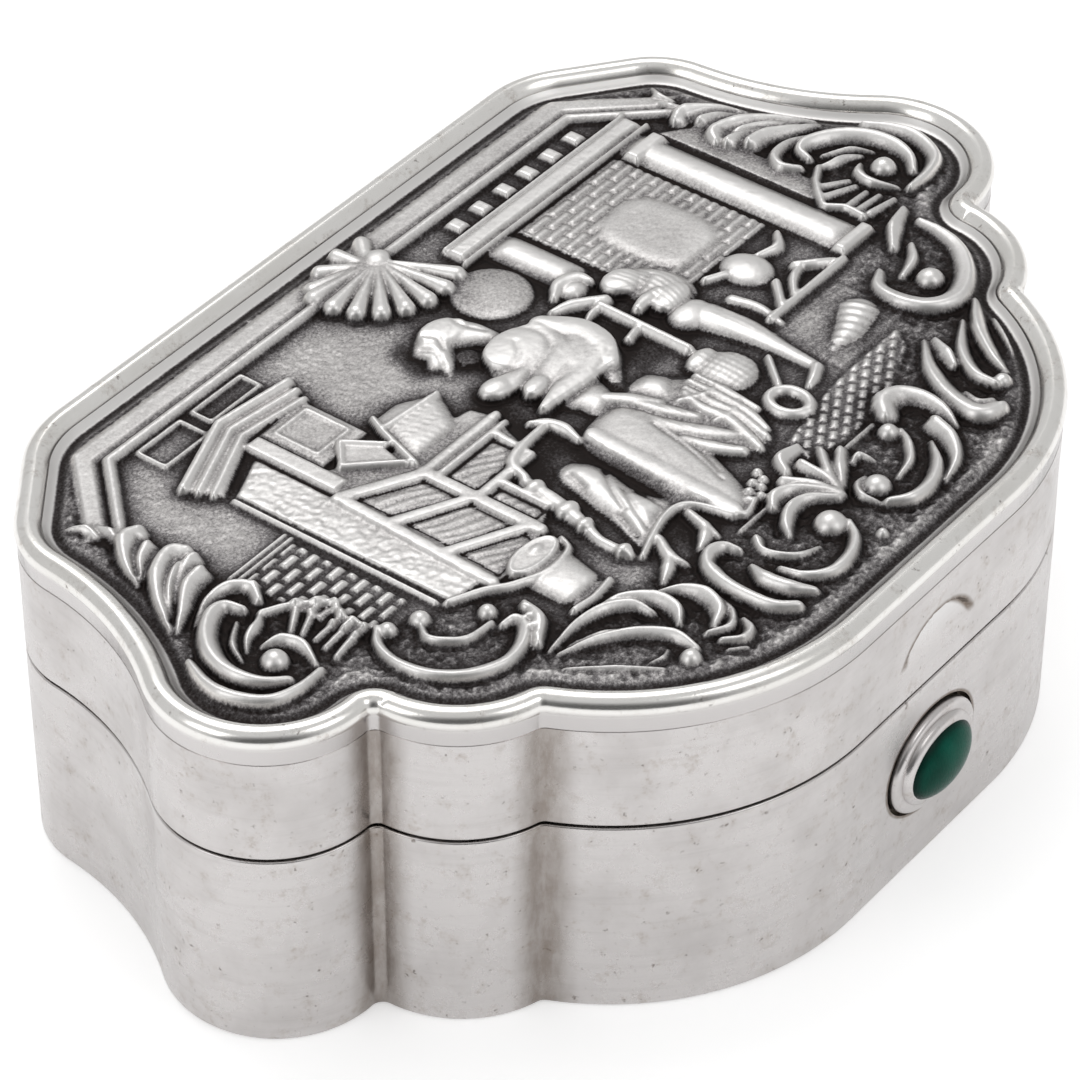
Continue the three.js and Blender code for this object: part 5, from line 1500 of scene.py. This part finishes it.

# Painted shade in hollows, under things and on shaded sides of forms, a painted lighter side on the desk,
# and the room's outline
shaded = [
    (side_face, -0.18), ([(-4.3, -3.2), (-3.5, -2.2), (-3.3, -5.6), (-3.6, -9.0), (-4.8, -8.5)], 0.4),
    ([(-2.7, 7.3), (-1.3, 9.3), (-0.1, 8.2), (-0.6, 7.2)], 0.5),
    ([(-4.9, 5.2), (-3.4, 6.4), (-3.0, 3.2), (-4.4, 0.6), (-5.4, 0.2)], 0.3),
    ([(-8.0, -0.4), (-4.0, 0.2), (-3.8, -2.0), (-4.6, -4.6), (-5.2, -1.2), (-7.4, -2.4)], 0.4),
    ([(5.8, 8.2), (6.8, 8.6), (6.7, 13.0), (6.2, 13.0), (6.5, 10.6)], 0.4),
    (oval(4.1, 10.9, 2.3, 2.3), 0.22), ([(3.4, -0.6), (5.8, -0.6), (6.0, 3.2), (5.0, 4.6)], 0.35),
    ([(7.1, -1.0), (8.1, -0.8), (8.3, 2.8), (7.2, 2.8)], 0.4),
    ([(-4.6, 9.0), (-3.8, 11.8), (-2.4, 12.2), (-3.4, 8.6)], 0.35),
    ([(-7.6, -9.8), (-5.0, -9.4), (-4.4, -11.6), (-7.0, -11.6)], 0.3),
]
for points, amount in shaded:
    chasing.dull(points, amount)

ROOM = [(-24.3, 12.6), (-20.2, 17.4), (20.2, 17.4), (24.3, 12.6), (23.4, 2.5), (22.5, -3), (17, -5),
        (16.5, -9), (4, -12.8), (-4.5, -12.7), (-10.5, -11), (-15.5, -9.8), (-16.5, -5), (-22.5, -2.3),
        (-24, 5.8)]


def panel_surface():
    """Heights of the whole panel: groove, raised and stippled lip, matted ground with outlines pressed round
    the forms, and the forms. Also how bright each point is rubbed, from 0 to 1, with painted shade and a
    painted lighter side added in."""
    depth, nx, ny = inset_depth(chasing.x, chasing.y)
    whole = (slice(None), slice(None))
    indoors = ease(chasing.inside(ROOM, whole) / 0.8 + 0.5)
    stipple = soften(np.random.default_rng(7).normal(size=chasing.x.shape), 0.10)
    stipple /= stipple.std()
    panel = ease((depth - FIELD_EDGE) / 0.3)
    step = ease((depth - STEP_EDGE) / 0.45)
    lip = np.exp(-(((depth - LIP_INSET) / 0.32) ** 2)) * LIP_HEIGHT
    cove = np.clip(1 - (depth - PANEL_EDGE) / COVE_WIDTH, 0, 1) ** 2 * (COVE_TOP - GROOVE_FLOOR)
    ground = GROOVE_FLOOR + cove + step * (GROUND - GROOVE_FLOOR) + lip
    framed = ease(chasing.inside(band, whole) / 0.2 + 0.5)
    low = chasing.form < 0.1
    matted = panel * (1 - 0.85 * indoors) * (1 - framed) * low
    ground += 0.022 * stipple * matted - 0.09 * soften(chasing.moat, 0.09) * panel
    formed = (chasing.form > -0.5) & (depth > FORM_EDGE)
    height = np.where(formed, np.maximum(ground, GROUND + chasing.form), ground)
    height = soften(height, 0.085) + 0.016 * stipple * matted + 0.003 * stipple * panel
    fine = np.clip((height - soften(height, 0.24)) / 0.07, -1, 1)
    broad = np.clip((height - soften(height, 1.05)) / 0.24, -1, 1)
    tall = np.clip((height - GROUND) / 0.7, -0.3, 1)
    crowded = soften(np.where(low, 0.0, 1.0), 0.8)
    rubbed = 0.52 + 0.12 * np.maximum(indoors, framed) + 0.08 * fine + 0.18 * broad + 0.16 * tall
    rubbed -= 0.56 * crowded * low * panel * (1 - framed) + 0.10 * soften(chasing.moat, 0.2)
    # Painted shade from the shaded polygons, and a painted lighter side where their amount is negative.
    rubbed -= soften(chasing.tarnish, 0.3) * (1 - 0.6 * np.clip(chasing.form / 0.4, 0, 1))
    rubbed *= 0.42 + 0.58 * step
    cove_rub = 0.95 * ease((2.0 - depth) / 0.2)
    rubbed = np.where(depth < STEP_EDGE, np.maximum(rubbed, cove_rub), rubbed)
    return depth, nx, ny, height, rubbed


depth, nx, ny, height, rubbed = panel_surface()
slope_x, slope_y = np.gradient(height, GRID)
face_normals = np.stack([-slope_x, -slope_y, np.ones_like(height)], -1)
face_normals /= np.linalg.norm(face_normals, axis=-1, keepdims=True)
shift = np.clip(PANEL_EDGE - depth, 0, None)
panel_points = np.stack([chasing.x + shift * nx, chasing.y + shift * ny, height], -1)
kept = depth > PANEL_EDGE
near = shift < 2 * GRID
CELL = [np.s_[:-1, :-1], np.s_[1:, :-1], np.s_[:-1, 1:], np.s_[1:, 1:]]
cell_kept = np.any([kept[c] for c in CELL], 0) & np.all([near[c] for c in CELL], 0)

oxidised = Finish("oxidised_silver", Metallic=1.0)


def rub_bright(finish):
    """Silver darkened in the hollows and rubbed bright on the high points, as the attribute rubbed says,
    with painted shade and a painted lighter side in it.
    """
    brightening = finish.node("ShaderNodeAttribute", {"attribute_name": "rubbed"}, output="Fac")
    cloud = finish.noise(2.4 * MM, 5, 0.6)
    speck = finish.noise(0.17 * MM, 3, 0.75)
    level = brightening + (cloud - 0.5) * 0.26 + (speck - 0.5) * (0.85 - 0.55 * brightening.between(0.45, 0.85))
    colour = finish.ramp(
        level, (0.05, (0.020, 0.016, 0.015)), (0.28, (0.072, 0.066, 0.067)), (0.46, (0.205, 0.195, 0.196)),
        (0.64, (0.46, 0.444, 0.436)), (0.88, (0.78, 0.765, 0.75)),
    )
    finish.feed(Base_Color=colour, Roughness=0.56 - 0.16 * level.between(0.2, 0.9))
    finish.feed(Normal=finish.bump(speck * 0.7 + cloud * 0.3, 0.014 * MM, 0.5))


rub_bright(oxidised)
TILES = ["far_left", "left", "middle_left", "middle_right", "right", "far_right"]
edges = np.linspace(0, len(chasing.xs) - 1, len(TILES) + 1).astype(int)
for name, first, last in zip(TILES, edges[:-1], edges[1:]):
    part = slice(first, last + 1)
    cells = lattice(last + 1 - first, len(chasing.ys), False, False)
    used, faces = np.unique(cells[cell_kept[first:last].ravel()][:, ::-1], return_inverse=True)
    faces = faces.reshape(-1, 4)
    points = panel_points[part].reshape(-1, 3)[used]
    tile = piece(f"relief_{name}", points, faces, oxidised, "lid", "oxidised_silver", "lid_panel", sharp=0)
    mesh = tile.data
    shine = rubbed[part].ravel()[used].astype(np.float32)
    mesh.attributes.new("rubbed", "FLOAT", "POINT").data.foreach_set("value", shine)
    mesh.normals_split_custom_set_from_vertices(face_normals[part].reshape(-1, 3)[used].tolist())


# Button: an oval cup of silver holds a domed green stone, on a stem that runs through the bezel to a
# washer. Pressed, it pushes the catch away from the keeper.
stone_low, stone_high = span("button_stone")
stem_low, stem_high = span("button_stem")
washer_low, washer_high = span("stem_washer")
axis_point = (0.0, 0.0, button_axis[2])
collet_half = collet_size[2] / 2
stone_size = stone_high - stone_low
stone_half = stone_size[2] / 2
stone_ratio = stone_size[0] / stone_size[2]
CUP_GAP = 0.12
cup = stone_half + CUP_GAP
lip_arc = np.radians(np.linspace(0, 90, 6))
COLLET_ROUND = 0.3
lip_round = np.stack([
    collet_half - COLLET_ROUND + COLLET_ROUND * np.cos(lip_arc),
    collet_low[1] + COLLET_ROUND - COLLET_ROUND * np.sin(lip_arc),
], 1)
LIP_OUT, LIP_IN, LIP_PROUD = 0.30, 0.28, 0.40
bezel_lip = np.stack([
    cup - LIP_IN + (LIP_OUT + LIP_IN) * np.cos(lip_arc), collet_low[1] - LIP_PROUD * np.sin(lip_arc),
], 1)
profile = np.concatenate([
    [[0, collet_high[1]], [collet_half, collet_high[1]]], lip_round, bezel_lip,
    [[cup, collet_low[1] + 0.1], [cup, stone_high[1] - 0.02], [0, stone_high[1] - 0.02]],
])
points, faces = turned(profile, "y", axis_point, collet_size[0] / collet_size[2], sides=96)
faces = turned_over(faces)
piece("button_cup", points, faces, silver, "button", "bright_silver", "button_collet", sharp=45)

girdle = collet_low[1]
dome = np.radians(np.linspace(0, 90, 22))
dome_rise = (stone_low[1] - girdle) * np.sin(dome)
cabochon = np.stack([stone_half * np.cos(dome).round(9), girdle + dome_rise], 1)
seat = stone_high[1] - 0.03
profile = np.concatenate([[[0, seat], [stone_half, seat]], cabochon])
# Near-black green of painted shade at the stone's edge.
STONE_EDGE_SHADE = (0.004, 0.012, 0.010, 1)
green_stone = Finish("green_stone", Specular_IOR_Level=0.07)


def vein_stone(finish):
    """Dyed agate: deep green with soft darker bands and painted shade towards its edge, polished and a bit
    scuffed.
    """
    band = finish.noise(2.2 * MM, 4, 0.55, stretch=(1.0, 1.0, 0.6), turn=(0.0, 0.6, 0.0))
    scuff = finish.noise(0.12 * MM, 2, 0.5, stretch=(1.0, 1.0, 0.2))
    green = finish.ramp(
        band, (0.30, (0.002, 0.055, 0.036)), (0.55, (0.003, 0.088, 0.058)), (0.75, (0.005, 0.12, 0.08))
    )
    # Painted shade: the stone darkened towards its edge, next to the cup.
    away = finish.away((0, 0, button_axis[2] * MM), (1 / stone_ratio, 0, 1))
    edge = away.between(0.78 * stone_half * MM, 0.97 * stone_half * MM)
    finish.feed(Base_Color=finish.mix(edge * 0.85, green, STONE_EDGE_SHADE), Roughness=0.20 + scuff * 0.16)


vein_stone(green_stone)
points, faces = turned(profile, "y", axis_point, stone_ratio, sides=96)
faces = turned_over(faces)
piece("button_cabochon", points, faces, green_stone, "button", "green_stone", "button_stone", sharp=50)

stem_half = (stem_high[0] - stem_low[0]) / 2
profile = [(0, stem_low[1]), (stem_half, stem_low[1]), (stem_half, stem_high[1]), (0, stem_high[1])]
points, faces = turned(profile, "y", axis_point, sides=40)
piece("button_stem_rod", points, faces, tube_finish, "button", "inner_silver", "button_stem")
WASHER_EDGE = 0.1
washer_half = (washer_high[0] - washer_low[0]) / 2
w0, w1 = washer_low[1], washer_high[1]
profile = [(0, w0), (washer_half - WASHER_EDGE, w0), (washer_half, w0 + WASHER_EDGE),
           (washer_half, w1 - WASHER_EDGE), (washer_half - WASHER_EDGE, w1), (0.5, w1), (0.35, w1 + 0.12),
           (0, w1 + 0.16)]
points, faces = turned(profile, "y", axis_point, sides=40)
piece("stem_washer_disc", points, faces, tube_finish, "button", "inner_silver", "stem_washer")
